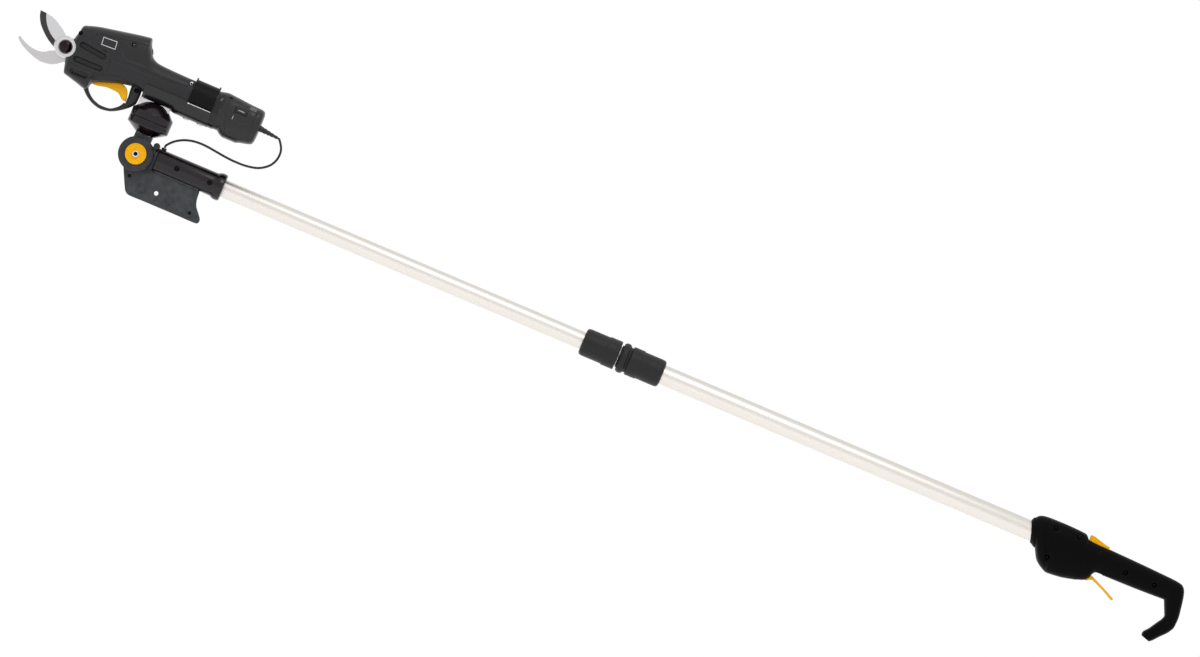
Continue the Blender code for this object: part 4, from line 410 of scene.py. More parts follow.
# %% [markdown]
# ## The signal lead
#
# A thin round lead leaves the grommet on the socket, loops back under the pruner and climbs into the
# boot on the battery case. It is shown end to end, so its length is the length of that route. It is
# in two lengths that meet face to face, one on the pole's head and one on the pruner.

# %% Route of the lead
LEAD_R = 1.55 * MM
TURN_UP = 2 * LEAD_R
lead_start = Vector((1382.3, 0.0, 18.8)) * MM
boot_tail = Vector((-133.4, 0.0, 0.8)) * MM
boot_end = Vector((-159.8, 0.0, -1.7)) * MM
along_boot = (boot_end - boot_tail).normalized()
lead_end = GRIP + boot_end + along_boot * 0.36 * MM
LEAD_ROUTE = [
    (1377.0, 28.4), (1371.0, 33.4), (1362.0, 38.2), (1350.0, 41.4), (1336.0, 42.0), (1320.0, 40.4),
    (1306.0, 38.7), (1292.0, 37.8), (1276.0, 38.4), (1260.3, 42.0), (1248.6, 49.9), (1242.8, 59.3),
    (1241.2, 69.0), (1243.2, 78.0),
]
route = [
    lead_start, lead_start + Vector((0, 0, TURN_UP)), *[Vector((x, 0.0, z)) * MM for x, z in LEAD_ROUTE],
    lead_end + along_boot * TURN_UP, lead_end,
]
LEAD_SPLIT = 8


def between_knots(knots, first, last, steps=6):
    """Points on a smooth curve from one knot to another, guided by their neighbours."""
    points = []
    for i in range(first, last):
        a, b, c, d = knots[i - 1 : i + 3]
        for k in range(steps):
            t = k / steps
            bend = (2 * a - 5 * b + 4 * c - d) * t**2 + (3 * b - a - 3 * c + d) * t**3
            points.append(0.5 * (2 * b + (c - a) * t + bend))
    return points + [knots[last]]


lower_points = [lead_start, *between_knots(route, 1, LEAD_SPLIT)]
upper_points = [*between_knots(route, LEAD_SPLIT, len(route) - 2), lead_end]
upper_points[0] = upper_points[0] + (upper_points[1] - upper_points[0]).normalized() * 0.02 * MM


def length_of(points):
    """The length of a line through the points, in metres."""
    return sum((b - a).length for a, b in zip(points, points[1:]))


print("lead:", round((length_of(lower_points) + length_of(upper_points)) / MM), "mm")


# %% [markdown]
# Each length is a round curve through its points, riding on its body.

# %% The two lengths of the lead
def lead(name, points, body):
    """One length of the lead, a round curve that rides on its body."""
    curve = bpy.data.curves.new(name, "CURVE")
    curve.dimensions = "3D"
    curve.bevel_depth = LEAD_R
    curve.bevel_resolution = 5
    curve.use_fill_caps = True
    spline = curve.splines.new("POLY")
    spline.points.add(len(points) - 1)
    for slot, point in zip(spline.points, points):
        slot.co = (*point, 1.0)
    spline.use_smooth = True
    curve.materials.append(lead_rubber)
    obj = bpy.data.objects.new(name + "_shown", curve)
    bpy.context.scene.collection.objects.link(obj)
    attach(obj, body)
    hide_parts(name)
    print(f"{name}: {length_of(points) / MM:.1f} mm")


lead("lead_lower", lower_points, "extension")
lead("lead_upper", upper_points, "pruner")

# %% [markdown]
# ## Making a mesh
#
# Three ways make nearly everything. A round piece is turned: a profile swept round its axis, with its
# corners rounded first, because only a rounded edge catches light. A plate is an outline that flows
# through points, with its rim rounded. A moulded shell is a skin over many sections. The record in
# the frame says which body each CAD piece rides on, so its visible piece rides on it too.

# %% Finished pieces
WELD = 0.002 * MM
# Sharper turns than these stay edges, in degrees: on plain pieces, and on skins with fine relief.
SHARP = 38.0
SKIN_SHARP = 62.0
BODY_OF = {node: body for body, names in frame["record"]["behaviour"]["bodies"].items() for node in names}


def finished(name, mesh, material, body, stands_for=(), sharp=SHARP):
    """An object from a bmesh or a mesh, shaded smooth, riding on its body."""
    if isinstance(mesh, bmesh.types.BMesh):
        bmesh.ops.remove_doubles(mesh, verts=mesh.verts, dist=WELD)
        bmesh.ops.recalc_face_normals(mesh, faces=mesh.faces)
        data = bpy.data.meshes.new(name)
        mesh.to_mesh(data)
        mesh.free()
    else:
        data = mesh
        data.name = name
    data.shade_smooth()
    data.set_sharp_from_angle(angle=math.radians(sharp))
    obj = bpy.data.objects.new(name, data)
    data.materials.clear()
    data.materials.append(material)
    bpy.context.scene.collection.objects.link(obj)
    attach(obj, body)
    if stands_for:
        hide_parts(*stands_for)
    print(f"{name}: {len(data.polygons)} faces")


def shown(node, mesh, material, sharp=SHARP, name=None):
    """The visible piece of a CAD node, on the node's own body."""
    finished(name or node + "_shown", mesh, material, BODY_OF[node], [node], sharp)


def plain_copy(obj, name):
    """The object's mesh with its modifiers worked in."""
    graph = bpy.context.evaluated_depsgraph_get()
    data = bpy.data.meshes.new_from_object(obj.evaluated_get(graph))
    data.name = name
    return data


def as_object(mesh):
    """A passing object that holds a bmesh or a mesh, for a modifier to work on or with."""
    if isinstance(mesh, bmesh.types.BMesh):
        bmesh.ops.recalc_face_normals(mesh, faces=mesh.faces)
        data = bpy.data.meshes.new("passing")
        mesh.to_mesh(data)
        mesh.free()
        mesh = data
    obj = bpy.data.objects.new("passing", mesh)
    bpy.context.scene.collection.objects.link(obj)
    return obj


def carved(bm, cutters, additions=()):
    """The solid with the additions joined on and the cutters taken away, as a mesh."""
    body = as_object(bm)
    helpers = [(as_object(c), "UNION") for c in additions] + [(as_object(c), "DIFFERENCE") for c in cutters]
    for helper, operation in helpers:
        modifier = body.modifiers.new("carve", "BOOLEAN")
        modifier.operation = operation
        modifier.solver = "MANIFOLD"
        modifier.object = helper
    data = plain_copy(body, "carved")
    for obj in [body] + [h for h, _ in helpers]:
        old = obj.data
        bpy.data.objects.remove(obj)
        bpy.data.meshes.remove(old)
    if not len(data.polygons):
        raise RuntimeError("a carved solid came out empty")
    return data


def cad_copy(node):
    """A CAD node's mesh with its loose triangles joined again."""
    bm = bmesh.new()
    bm.from_mesh(nodes[node].data)
    bmesh.ops.remove_doubles(bm, verts=bm.verts, dist=WELD)
    return bm


def bridged(bm, rings):
    """Faces from each ring of points to the next. A ring of one point closes to a tip."""
    for a, b in zip(rings, rings[1:]):
        sides = max(len(a), len(b))
        for k in range(sides if sides > 1 else 0):
            j = (k + 1) % sides
            corners = a[k % len(a)], a[j % len(a)], b[j % len(b)], b[k % len(b)]
            bm.faces.new(list(dict.fromkeys(corners)))


def merged(*parts):
    """Several bmeshes in one. They must not touch each other."""
    whole = bmesh.new()
    for bm in parts:
        data = bpy.data.meshes.new("part")
        bm.to_mesh(data)
        bm.free()
        whole.from_mesh(data)
        bpy.data.meshes.remove(data)
    return whole


# %% [markdown]
# A turned piece is drawn as half of its section: how far along the axis, and how far out. Screws,
# drums, rings, nuts and bores are all made so.

# %% Turned pieces
def rounded(profile, radius, steps=3):
    """A profile with its inner corners rounded."""
    result = [tuple(profile[0])]
    for a, b, c in zip(profile, profile[1:], profile[2:]):
        a, b, c = (np.array(p, float) for p in (a, b, c))
        before, after = np.linalg.norm(a - b), np.linalg.norm(c - b)
        reach = min(radius, before * 0.45, after * 0.45)
        start, end = b + (a - b) / before * reach, b + (c - b) / after * reach
        for k in range(steps + 1):
            t = k / steps
            result.append(tuple((1 - t) ** 2 * start + 2 * t * (1 - t) * b + t * t * end))
    return result + [tuple(profile[-1])]


AXES = {
    "X": Matrix.Rotation(math.radians(90), 4, "Y"),
    "Y": Matrix.Rotation(math.radians(-90), 4, "X"),
    "Z": Matrix.Identity(4),
}


def turned(profile, axis="X", centre=(0, 0, 0), steps=96):
    """A profile of (along, radius) in millimetres, swept round an axis. Off-axis ends are joined."""
    bm = bmesh.new()
    rings = []
    for along, radius in profile:
        if radius <= 1e-6:
            rings.append([bm.verts.new((0, 0, along * MM))])
            continue
        turns = [2 * math.pi * k / steps for k in range(steps)]
        r = radius * MM
        rings.append([bm.verts.new((r * math.cos(a), r * math.sin(a), along * MM)) for a in turns])
    hollow = len(rings[0]) > 1 and len(rings[-1]) > 1
    bridged(bm, rings + rings[:1] if hollow else rings)
    bmesh.ops.transform(bm, matrix=Matrix.Translation(centre) @ AXES[axis], verts=bm.verts)
    return bm


def rod(axis, low, high, radius, centre=(0, 0, 0), steps=48):
    """A plain round bar."""
    return turned([(low, 0), (low, radius), (high, radius), (high, 0)], axis, centre, steps)


def block(x, y, z, centre=(0, 0, 0)):
    """A box from its low and high millimetres along each axis."""
    bm = bmesh.new()
    bmesh.ops.create_cube(bm, size=1.0)
    for vert in bm.verts:
        vert.co = Vector([(a + b) / 2 + (b - a) * v for (a, b), v in zip((x, y, z), vert.co)]) * MM
    bmesh.ops.translate(bm, vec=Vector(centre), verts=bm.verts)
    return bm


# %% [markdown]
# A plate's outline runs through a few points that were measured, and stays sharp only at the corners
# that are named. Its rims are drawn inwards in steps, so that they catch light. A cutter is a plate
# too, with rims so small that it cuts a sharp edge.

# %% Plates
# The rims of a plate that only cuts, in millimetres.
KEEN = 0.01


def flowing(points, corners=(), step=0.8, closed=True):
    """An outline that flows through the points, with the numbered corners kept sharp."""
    points = [np.array(p, float) for p in points]
    count = len(points)
    result = []
    for i in range(count if closed else count - 1):
        b, c = points[i], points[(i + 1) % count]
        a = 2 * b - c if i in corners else points[i - 1]
        d = 2 * c - b if (i + 1) % count in corners else points[(i + 2) % count]
        ab, bc, cd = (np.linalg.norm(q - p) for p, q in ((a, b), (b, c), (c, d)))
        leave, arrive = (c - a) / (ab + bc) * bc, (d - b) / (bc + cd) * bc
        pieces = max(1, round(bc / step))
        for k in range(pieces):
            t = k / pieces
            result.append(
                (2 * t**3 - 3 * t**2 + 1) * b + (t**3 - 2 * t**2 + t) * leave
                + (3 * t**2 - 2 * t**3) * c + (t**3 - t**2) * arrive
            )
    return np.array(result if closed else result + [points[-1]])


def drawn_in(outline, amount):
    """The outline moved inwards by an amount."""
    ahead, behind = np.roll(outline, -1, 0) - outline, outline - np.roll(outline, 1, 0)
    area = np.sum(outline[:, 0] * np.roll(outline[:, 1], -1) - np.roll(outline[:, 0], -1) * outline[:, 1])
    normals = []
    for edge in (ahead, behind):
        edge = edge / np.maximum(np.linalg.norm(edge, axis=1, keepdims=True), 1e-9)
        normals.append(np.stack([-edge[:, 1], edge[:, 0]], 1) * np.sign(area))
    middle_way = normals[0] + normals[1]
    length = np.maximum(np.linalg.norm(middle_way, axis=1, keepdims=True), 1e-9)
    return outline + middle_way / length * np.minimum(2 / length, 1.6) * amount


def filled(bm, ring):
    """Flat triangles across a closed ring of points."""
    flat = [Vector((v.co.x, v.co.z)) * 1000 for v in ring]
    points, _, faces, *_ = delaunay_2d_cdt(flat, [], [list(range(len(ring)))], 1, 1e-7)
    if len(points) == len(ring) and len(faces) == len(ring) - 2:
        for face in faces:
            bm.faces.new([ring[k] for k in face])
    else:
        bmesh.ops.triangulate(bm, faces=[bm.faces.new(ring)], ngon_method="EAR_CLIP")


def plate(outline, low, high, edge=0.6, centre=(0, 0, 0), steps=3):
    """An outline in the XZ plane as a plate along Y with rounded rims, all in millimetres."""
    outline = np.array(outline, float)
    rims = [(low, edge + 0.12)]
    for k in range(steps, -1, -1):
        angle = math.pi / 2 * k / steps
        rims.append((low + edge * (1 - math.sin(angle)), edge * (1 - math.cos(angle))))
    rims = rims + [(low + high - y, inset) for y, inset in reversed(rims)]
    bm = bmesh.new()
    rings = []
    for y, inset in rims:
        ring = drawn_in(outline, inset) if inset > 1e-9 else outline
        rings.append([bm.verts.new((x * MM, y * MM, z * MM)) for x, z in ring])
    bridged(bm, rings)
    filled(bm, rings[0])
    filled(bm, rings[-1])
    bmesh.ops.translate(bm, vec=Vector(centre), verts=bm.verts)
    return bm


def prism(outline, low, high, centre):
    """An outline of (y, z) as a bar along X, all in millimetres."""
    bm = plate([(z, y) for y, z in outline], low, high, KEEN)
    swap = Matrix(((0, 1, 0, 0), (0, 0, 1, 0), (1, 0, 0, 0), (0, 0, 0, 1)))
    bmesh.ops.transform(bm, matrix=Matrix.Translation(centre) @ swap, verts=bm.verts)
    return bm


# %% [markdown]
# A shell's section is a squarish ellipse, given at each station by its top and bottom points, its
# half width and how square it is. Between the stations the values follow a curve that never
# overshoots, and the skin is dense enough to carry grooves and ribs, which push its points in or out.

# %% Moulded skins
def between_stations(stations, step):
    """The stations' values along the body, a step in millimetres apart."""
    values = np.array(stations, float)
    top, bottom = (np.hypot(*np.diff(values[:, k : k + 2], axis=0).T) for k in (0, 2))
    moves = np.maximum(top, bottom)
    along = np.concatenate([[0.0], np.cumsum(np.maximum(moves, 0.3))])
    slopes = np.diff(values, axis=0) / np.diff(along)[:, None]
    tangents = np.zeros_like(values)
    tangents[0], tangents[-1] = slopes[0], slopes[-1]
    before, after = slopes[:-1], slopes[1:]
    same = before * after > 0
    tangents[1:-1][same] = (2 * before[same] * after[same]) / (before[same] + after[same])
    places = np.linspace(0.0, along[-1], max(2, round(along[-1] / step) + 1))
    index = np.clip(np.searchsorted(along, places, side="right") - 1, 0, len(along) - 2)
    width = np.diff(along)[index][:, None]
    t = ((places - along[index]) / width[:, 0])[:, None]
    return (
        (2 * t**3 - 3 * t**2 + 1) * values[index] + (t**3 - 2 * t**2 + t) * tangents[index] * width
        + (3 * t**2 - 2 * t**3) * values[index + 1] + (t**3 - t**2) * tangents[index + 1] * width
    )


def skin_points(stations, step, sides, shrink=0.0):
    """Points of the half skin on the +Y side, ring by ring from the bottom to the top."""
    rows = between_stations(stations, step)
    angle = np.linspace(-math.pi / 2, math.pi / 2, 241)
    grid = []
    for px, pz, qx, qz, half, square in rows:
        power = 2.0 / square
        side = np.abs(np.cos(angle)) ** power * (half - shrink)
        height = np.sign(np.sin(angle)) * np.abs(np.sin(angle)) ** power
        reach = math.hypot(px - qx, pz - qz) / 2
        way = np.array([px - qx, pz - qz]) / (2 * reach) * (reach - shrink)
        run = np.concatenate([[0.0], np.cumsum(np.hypot(np.diff(side), np.diff(height * reach)))])
        spread = np.linspace(0.0, run[-1], sides)
        side, height = np.interp(spread, run, side), np.interp(spread, run, height)
        x = (px + qx) / 2 + way[0] * height
        z = (pz + qz) / 2 + way[1] * height
        grid.append(np.stack([x, side, z], 1))
    return np.array(grid)


def pushed(grid, relief):
    """The skin with its points moved in by relief(x, z), in millimetres."""
    along = np.gradient(grid, axis=0)
    across = np.gradient(grid, axis=1)
    normal = np.cross(along, across)
    normal /= np.maximum(np.linalg.norm(normal, axis=2, keepdims=True), 1e-9)
    outwards = np.sign(np.sum(normal[:, normal.shape[1] // 2, 1]))
    depth = relief(grid[..., 0], grid[..., 2]) * np.clip(np.abs(normal[..., 1]) * 1.6, 0.0, 1.0)
    return grid - normal * outwards * depth[..., None]


def skinned(grid, side=0, centre=(0, 0, 0), gap=0.15):
    """A closed solid from a half skin: side 1 or -1 is that half, and 0 is both halves in one."""
    bm = bmesh.new()
    grid = grid.copy()
    if side:
        grid[..., 1] = np.maximum(grid[..., 1], gap)
        grid[..., 1] *= side
        rings = grid
    else:
        mirrored = grid[:, ::-1] * np.array([1.0, -1.0, 1.0])
        rings = np.concatenate([grid, mirrored[:, 1:-1]], axis=1)
    made = [[bm.verts.new(Vector(p) * MM) for p in ring] for ring in rings]
    bridged(bm, made)
    ends = [bm.faces.new(made[0]), bm.faces.new(list(reversed(made[-1])))]
    bmesh.ops.triangulate(bm, faces=ends)
    bmesh.ops.translate(bm, vec=Vector(centre), verts=bm.verts)
    return bm


# %% [markdown]
# Relief on a skin is worked out from distances in the side view: to a line, to a slot, to a point.
# A groove is a rounded dip along a line, and a step is a smooth change of level across an outline.

# %% Relief helpers
def from_line(x, z, points):
    """Distance in millimetres from each place to a line through the points."""
    best = np.full(np.shape(x), 1e9)
    for (ax, az), (bx, bz) in zip(points, points[1:]):
        dx, dz = bx - ax, bz - az
        t = np.clip(((x - ax) * dx + (z - az) * dz) / (dx * dx + dz * dz), 0.0, 1.0)
        best = np.minimum(best, np.hypot(x - ax - t * dx, z - az - t * dz))
    return best


def into_outline(x, z, outline):
    """Distance into a closed outline, below zero outside it."""
    distance = from_line(x, z, list(outline) + [outline[0]])
    inside = np.zeros(np.shape(x), bool)
    for (ax, az), (bx, bz) in zip(outline, list(outline[1:]) + [outline[0]]):
        crosses = (az > z) != (bz > z)
        with np.errstate(divide="ignore", invalid="ignore"):
            inside ^= crosses & (x < (bx - ax) * (z - az) / (bz - az) + ax)
    return np.where(inside, distance, -distance)


def groove(distance, width, depth):
    """A rounded dip along a line, with soft shoulders."""
    return depth * np.clip(1 - (2 * distance / width) ** 2, 0.0, 1.0) ** 1.5


def step_down(distance, soft, depth):
    """A level change of depth, over a soft width, where distance passes zero."""
    t = np.clip(distance / soft + 0.5, 0.0, 1.0)
    return depth * t * t * (3 - 2 * t)


# %% [markdown]
# ## The telescopic pole
#
# Two aluminium tubes slide in each other. A tube is a rule, so Geometry Nodes make it: a circle is
# the path, the wall's rectangle is the profile, and sweeping one along the other gives the ring.

# %% Tube tree
def new_tree(name, **sockets):
    """A new tree with the named inputs. It comes back with the outputs of its input node."""
    tree = bpy.data.node_groups.new(name, "GeometryNodeTree")
    for label, kind in sockets.items():
        tree.interface.new_socket(label, in_out="INPUT", socket_type="NodeSocket" + kind)
    tree.interface.new_socket("Geometry", in_out="OUTPUT", socket_type="NodeSocketGeometry")
    return tree, add(tree, "NodeGroupInput").outputs


def close_tree(tree, geometry, finish):
    """Make the geometry real, give it its finish and send it out."""
    real = add(tree, "GeometryNodeRealizeInstances", {"Geometry": geometry})
    painted = add(tree, "GeometryNodeSetMaterial", {"Geometry": real.outputs[0], "Material": finish})
    add(tree, "NodeGroupOutput", {"Geometry": painted.outputs[0]})


def grown(name, tree, values, base=None):
    """Run a tree on a new object with the named values, and return the plain mesh."""
    identifiers = {i.name: i.identifier for i in tree.interface.items_tree if i.in_out == "INPUT"}
    obj = bpy.data.objects.new(name, base or bpy.data.meshes.new(name))
    bpy.context.scene.collection.objects.link(obj)
    modifier = obj.modifiers.new("grow", "NODES")
    modifier.node_group = tree
    for key, value in values.items():
        modifier[identifiers[key]] = value
    data = plain_copy(obj, name)
    bpy.data.objects.remove(obj)
    return data


tube_tree, given = new_tree(
    "Tube", Radius="Float", Wall="Float", Length="Float", Start="Float", Finish="Material",
)
half_wall = maths(tube_tree, "MULTIPLY", given["Wall"], -0.5)
mean = maths(tube_tree, "ADD", given["Radius"], half_wall)
path = add(tube_tree, "GeometryNodeCurvePrimitiveCircle", {"Resolution": 128, "Radius": mean})
wall = add(tube_tree, "GeometryNodeCurvePrimitiveQuadrilateral", {
    "Width": given["Wall"], "Height": given["Length"],
}, mode="RECTANGLE")
corner = {"Curve": wall.outputs[0], "Radius": 0.2 * MM, "Count": 3}
soft = add(tube_tree, "GeometryNodeFilletCurve", corner, mode="POLY")
ring = add(tube_tree, "GeometryNodeCurveToMesh", {"Curve": path.outputs[0], "Profile Curve": soft.outputs[0]})
centre_x = maths(tube_tree, "MULTIPLY_ADD", given["Length"], 0.5, given["Start"])
place = add(tube_tree, "ShaderNodeCombineXYZ", {"X": centre_x})
laid = add(tube_tree, "GeometryNodeTransform", {
    "Geometry": ring.outputs[0], "Translation": place.outputs[0], "Rotation": (0.0, math.pi / 2, 0.0),
})
close_tree(tube_tree, laid.outputs[0], given["Finish"])
print("tube tree:", len(tube_tree.nodes), "nodes")

# %% [markdown]
# Both tubes come from that one tree. Their lengths and radii are those of the CAD tubes.

# %% The two tubes
WALL = 1.0 * MM
for node in ("outer_tube", "inner_tube"):
    low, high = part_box(node)
    shown(node, grown(node + "_drawn", tube_tree, {
        "Radius": (high.z - low.z) / 2, "Wall": WALL, "Length": high.x - low.x, "Start": low.x,
        "Finish": pole_aluminium,
    }), pole_aluminium)

# %% [markdown]
# The twist lock is a body and a nut with a free ring between them. All three are turned, with soft
# rounded ends and a small step where the grip part starts.

# %% Twist lock
lock_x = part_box("lock_body")[0].x
LOCK_R = 19.3
lock_body = rounded([
    (46.6, 13.4), (0.2, 13.4), (0.0, 14.6), (1.6, 17.8), (5.6, 18.4), (31.0, 18.4), (31.8, LOCK_R),
    (46.9, LOCK_R), (46.9, 15.2), (61.5, 15.0), (61.5, 13.4),
], 2.2)
shown("lock_body", turned(lock_body, "X", (lock_x, 0, 0)), lock_nylon)
ring_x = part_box("lock_ring")[0].x
lock_ring = rounded([
    (-2.6, 15.5), (-2.6, 17.0), (0.0, 17.0), (0.0, 17.6), (2.2, 19.9), (5.0, 20.3), (7.8, 19.9),
    (10.0, 17.6), (10.0, 15.5),
], 1.6)
shown("lock_ring", turned(lock_ring, "X", (ring_x, 0, 0)), lock_nylon)
nut_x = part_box("lock_nut")[0].x
lock_nut = rounded([
    (0.2, 15.6), (0.0, LOCK_R), (16.9, LOCK_R), (17.8, 18.4), (44.2, 18.4), (48.4, 17.6), (49.7, 14.4),
    (49.5, 12.2), (46.7, 12.2), (40.0, 13.9), (24.0, 15.5),
], 2.2)
shown("lock_nut", turned(lock_nut, "X", (nut_x, 0, 0)), lock_nylon)
print("lock from", round(lock_x / MM), "to", round((nut_x + 49.7 * MM) / MM), "mm")

# %% [markdown]
# ## Screws
#
# The shells are held by small pan-head screws. One tree places them all: its points are the seats,
# and on each it sets a head with a drive recess, turned a little differently, as real ones end up.

# %% Screw tree
screw_tree, given = new_tree("Screws", Geometry="Geometry", Head="Object", Seed="Int", Finish="Material")
head = add(screw_tree, "GeometryNodeObjectInfo", {"Object": given["Head"]})
spin = add(screw_tree, "FunctionNodeRandomValue", {
    "Min": (0.0, 0.0, 0.0), "Max": (0.0, 1.0, 0.0), "Seed": given["Seed"],
}, data_type="FLOAT_VECTOR")
placed = add(screw_tree, "GeometryNodeInstanceOnPoints", {
    "Points": given["Geometry"], "Instance": head.outputs["Geometry"], "Rotation": spin.outputs[0],
})
close_tree(screw_tree, placed.outputs[0], given["Finish"])


def star(radius, points=6, depth=0.3, steps=60):
    """The outline of a six-lobed drive recess."""
    turns = [2 * math.pi * k / steps for k in range(steps)]
    reach = [radius * (1 - depth * (0.5 - 0.5 * math.cos(points * a))) for a in turns]
    return [(r * math.cos(a), r * math.sin(a)) for r, a in zip(reach, turns)]


def screw_head(radius, height, shank, length):
    """One screw along Y with its seat at the origin: domed head, six-lobed recess and shank."""
    profile = rounded([
        (-length, 0), (-length, shank), (0, shank), (0, radius), (height * 0.6, radius),
        (height, radius * 0.62), (height * 1.04, 0),
    ], radius * 0.22)
    recess = plate(star(radius * 0.5), height * 0.3, height * 2, KEEN)
    return as_object(carved(turned(profile, "Y", steps=40), [recess]))


def screws(name, seats, radius, height, shank, length, material, body, stands_for, seed):
    """Screws at the listed seats, in metres, as one mesh."""
    head = screw_head(radius, height, shank, length)
    base = bpy.data.meshes.new(name)
    base.from_pydata([tuple(s) for s in seats], [], [])
    mesh = grown(name, screw_tree, {"Head": head, "Seed": seed, "Finish": material}, base)
    bpy.data.objects.remove(head)
    finished(name, mesh, material, body, stands_for)


def screw_rooms(seats, origin):
    """Room through both shells for screws at (x, z) with their seat at y: a shank's, then a head's."""
    return merged(*[turned([
        (0.7 - seat, 0), (0.7 - seat, 1.7), (seat - 0.3, 1.7), (seat - 0.3, 3.1), (60, 3.1), (60, 0),
    ], "Y", origin + Vector((x, 0, z)) * MM, 40) for x, z, seat in seats])


print("screw tree:", len(screw_tree.nodes), "nodes")

# %% [markdown]
# ## Pole socket and hinge
#
# A glossy black socket with a thick bead holds the head end of the inner tube. The hinge behind it is
# a casting with two round cheeks, a yellow disc let into the near one, and a knurled clamping knob.

# %% Pole socket
socket_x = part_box("pole_socket")[0].x / MM
socket_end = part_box("pole_socket")[1].x / MM
depth = socket_end - socket_x
socket_profile = rounded([
    (0.0, 12.0), (0.0, 16.6), (1.6, 18.1), (7.0, 18.3), (10.4, 17.2), (12.6, 15.8), (15.8, 15.6),
    (depth, 15.6), (depth, 10.9), (depth - 2.0, 10.9), (depth - 2.0, 12.0),
], 0.9)
socket_screws = [middle(n).x for n in ("socket_screw_rear", "socket_screw_front")]
rooms = merged(*[rod("Y", 13.2, 30, 3.7, (x, 0, 0)) for x in socket_screws])
grommet_x = middle("lead_grommet").x
lead_hole = rod("Z", 13.0, 30, 3.2, (grommet_x, 0, 0))
socket_mesh = carved(turned(socket_profile, "X", (socket_x * MM, 0, 0), 128), [rooms, lead_hole])
shown("pole_socket", socket_mesh, gloss_black_nylon)
screws("socket_screws_shown", [(x, 13.6 * MM, 0) for x in socket_screws], 3.4, 2.2, 1.8, 4.0, black_bolt,
       "extension", ["socket_screw_rear", "socket_screw_front"], 3)
grommet = rounded([(13.6, 0), (13.6, 2.9), (16.1, 2.9), (16.1, 3.9), (18.5, 3.0), (18.5, 0)], 0.6)
shown("lead_grommet", turned(grommet, "Z", (grommet_x, 0, 0), 48), lead_rubber)

# %% [markdown]
# Some CAD pieces already have the right form and only lack soft edges. A copy of such a node is
# merged, its flat faces are joined, and a bevel rounds what is left sharp.

# %% Softened copies of CAD nodes
def softened(node, width, material):
    """A copy of a CAD node with its edges rounded by a width in millimetres."""
    bm = cad_copy(node)
    bmesh.ops.dissolve_limit(bm, angle_limit=math.radians(2), verts=bm.verts, edges=bm.edges)
    passing = as_object(bm)
    bevel = passing.modifiers.new("soft", "BEVEL")
    bevel.width = width * MM
    bevel.segments = 3
    bevel.limit_method = "ANGLE"
    bevel.angle_limit = math.radians(28)
    bevel.use_clamp_overlap = True
    data = plain_copy(passing, node)
    bpy.data.objects.remove(passing)
    shown(node, data, material)


softened("knuckle", 0.25, bracket_cast)
softened("hinge_nut", 0.4, bright_bolt)
softened("saddle_plate", 0.4, saddle_alloy)
softened("blade_bolt", 0.3, bright_bolt)

# %% [markdown]
# The fork's two cheeks are round wheels, so they are turned: a raised ring, a bevel, and a lower
# rim. The near one has a recess for the disc. What is left of the CAD fork once the wheels are cut
# out is the block between them and the socket.

# %% Fork
axis_point = (HINGE.x, 0, HINGE.z)
WHEEL_R = 23.2
near_wheel = turned(rounded([
    (11.0, 3.3), (11.0, 22.8), (15.6, WHEEL_R), (16.3, 22.6), (16.4, 21.4), (17.0, 20.6), (17.6, 17.2),
    (17.6, 15.6), (17.0, 15.0), (17.0, 14.3), (14.5, 14.2), (14.5, 3.3),
], 0.3), "Y", axis_point, 160)
far_wheel = turned(rounded([
    (-11.0, 3.3), (-17.6, 3.3), (-17.6, 20.6), (-16.4, WHEEL_R), (-11.0, 22.8),
], 0.5), "Y", axis_point, 160)
shown("hinge_fork", merged(near_wheel, far_wheel), cast_wheel, name="hinge_wheels_shown")
wheel_spans = ((10.9, 30), (-30, -10.9))
wheel_cut = merged(*[rod("Y", *span, WHEEL_R + 0.05, axis_point, 128) for span in wheel_spans])
block_mesh = carved(cad_copy("hinge_fork"), [wheel_cut], [rod("X", -29.8, -24.0, 15.4, (HINGE.x, 0, 0), 96)])
finished("fork_block_shown", block_mesh, gloss_black_nylon, "extension")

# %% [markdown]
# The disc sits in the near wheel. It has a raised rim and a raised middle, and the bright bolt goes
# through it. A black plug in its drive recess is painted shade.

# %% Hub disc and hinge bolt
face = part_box("hub_disc")[1].y / MM
disc = rounded([
    (face - 2.8, 3.3), (face - 2.8, 14.0), (face - 0.2, 14.0), (face, 13.2), (face - 0.1, 12.4),
    (face - 0.5, 12.0), (face - 0.5, 5.6), (face, 5.2), (face, 3.3),
], 0.4)
shown("hub_disc", turned(disc, "Y", axis_point), yellow_nylon)
bolt = rounded([
    (-26.0, 0), (-26.0, 3.0), (face + 0.3, 3.0), (face + 0.3, 4.4), (face + 1.9, 4.4), (face + 2.5, 3.7),
    (face + 2.5, 2.7), (face - 2.0, 2.6), (face - 2.0, 0),
], 0.35)
shown("hinge_bolt", turned(bolt, "Y", axis_point, 64), bright_bolt)
# Painted shade: a black plug in the bolt head's recess, where the drive would look dark.
drive = rod("Y", face - 1.9, face + 1.0, 2.5, axis_point, 48)
finished("hinge_bolt_drive", drive, black_bolt, "extension")
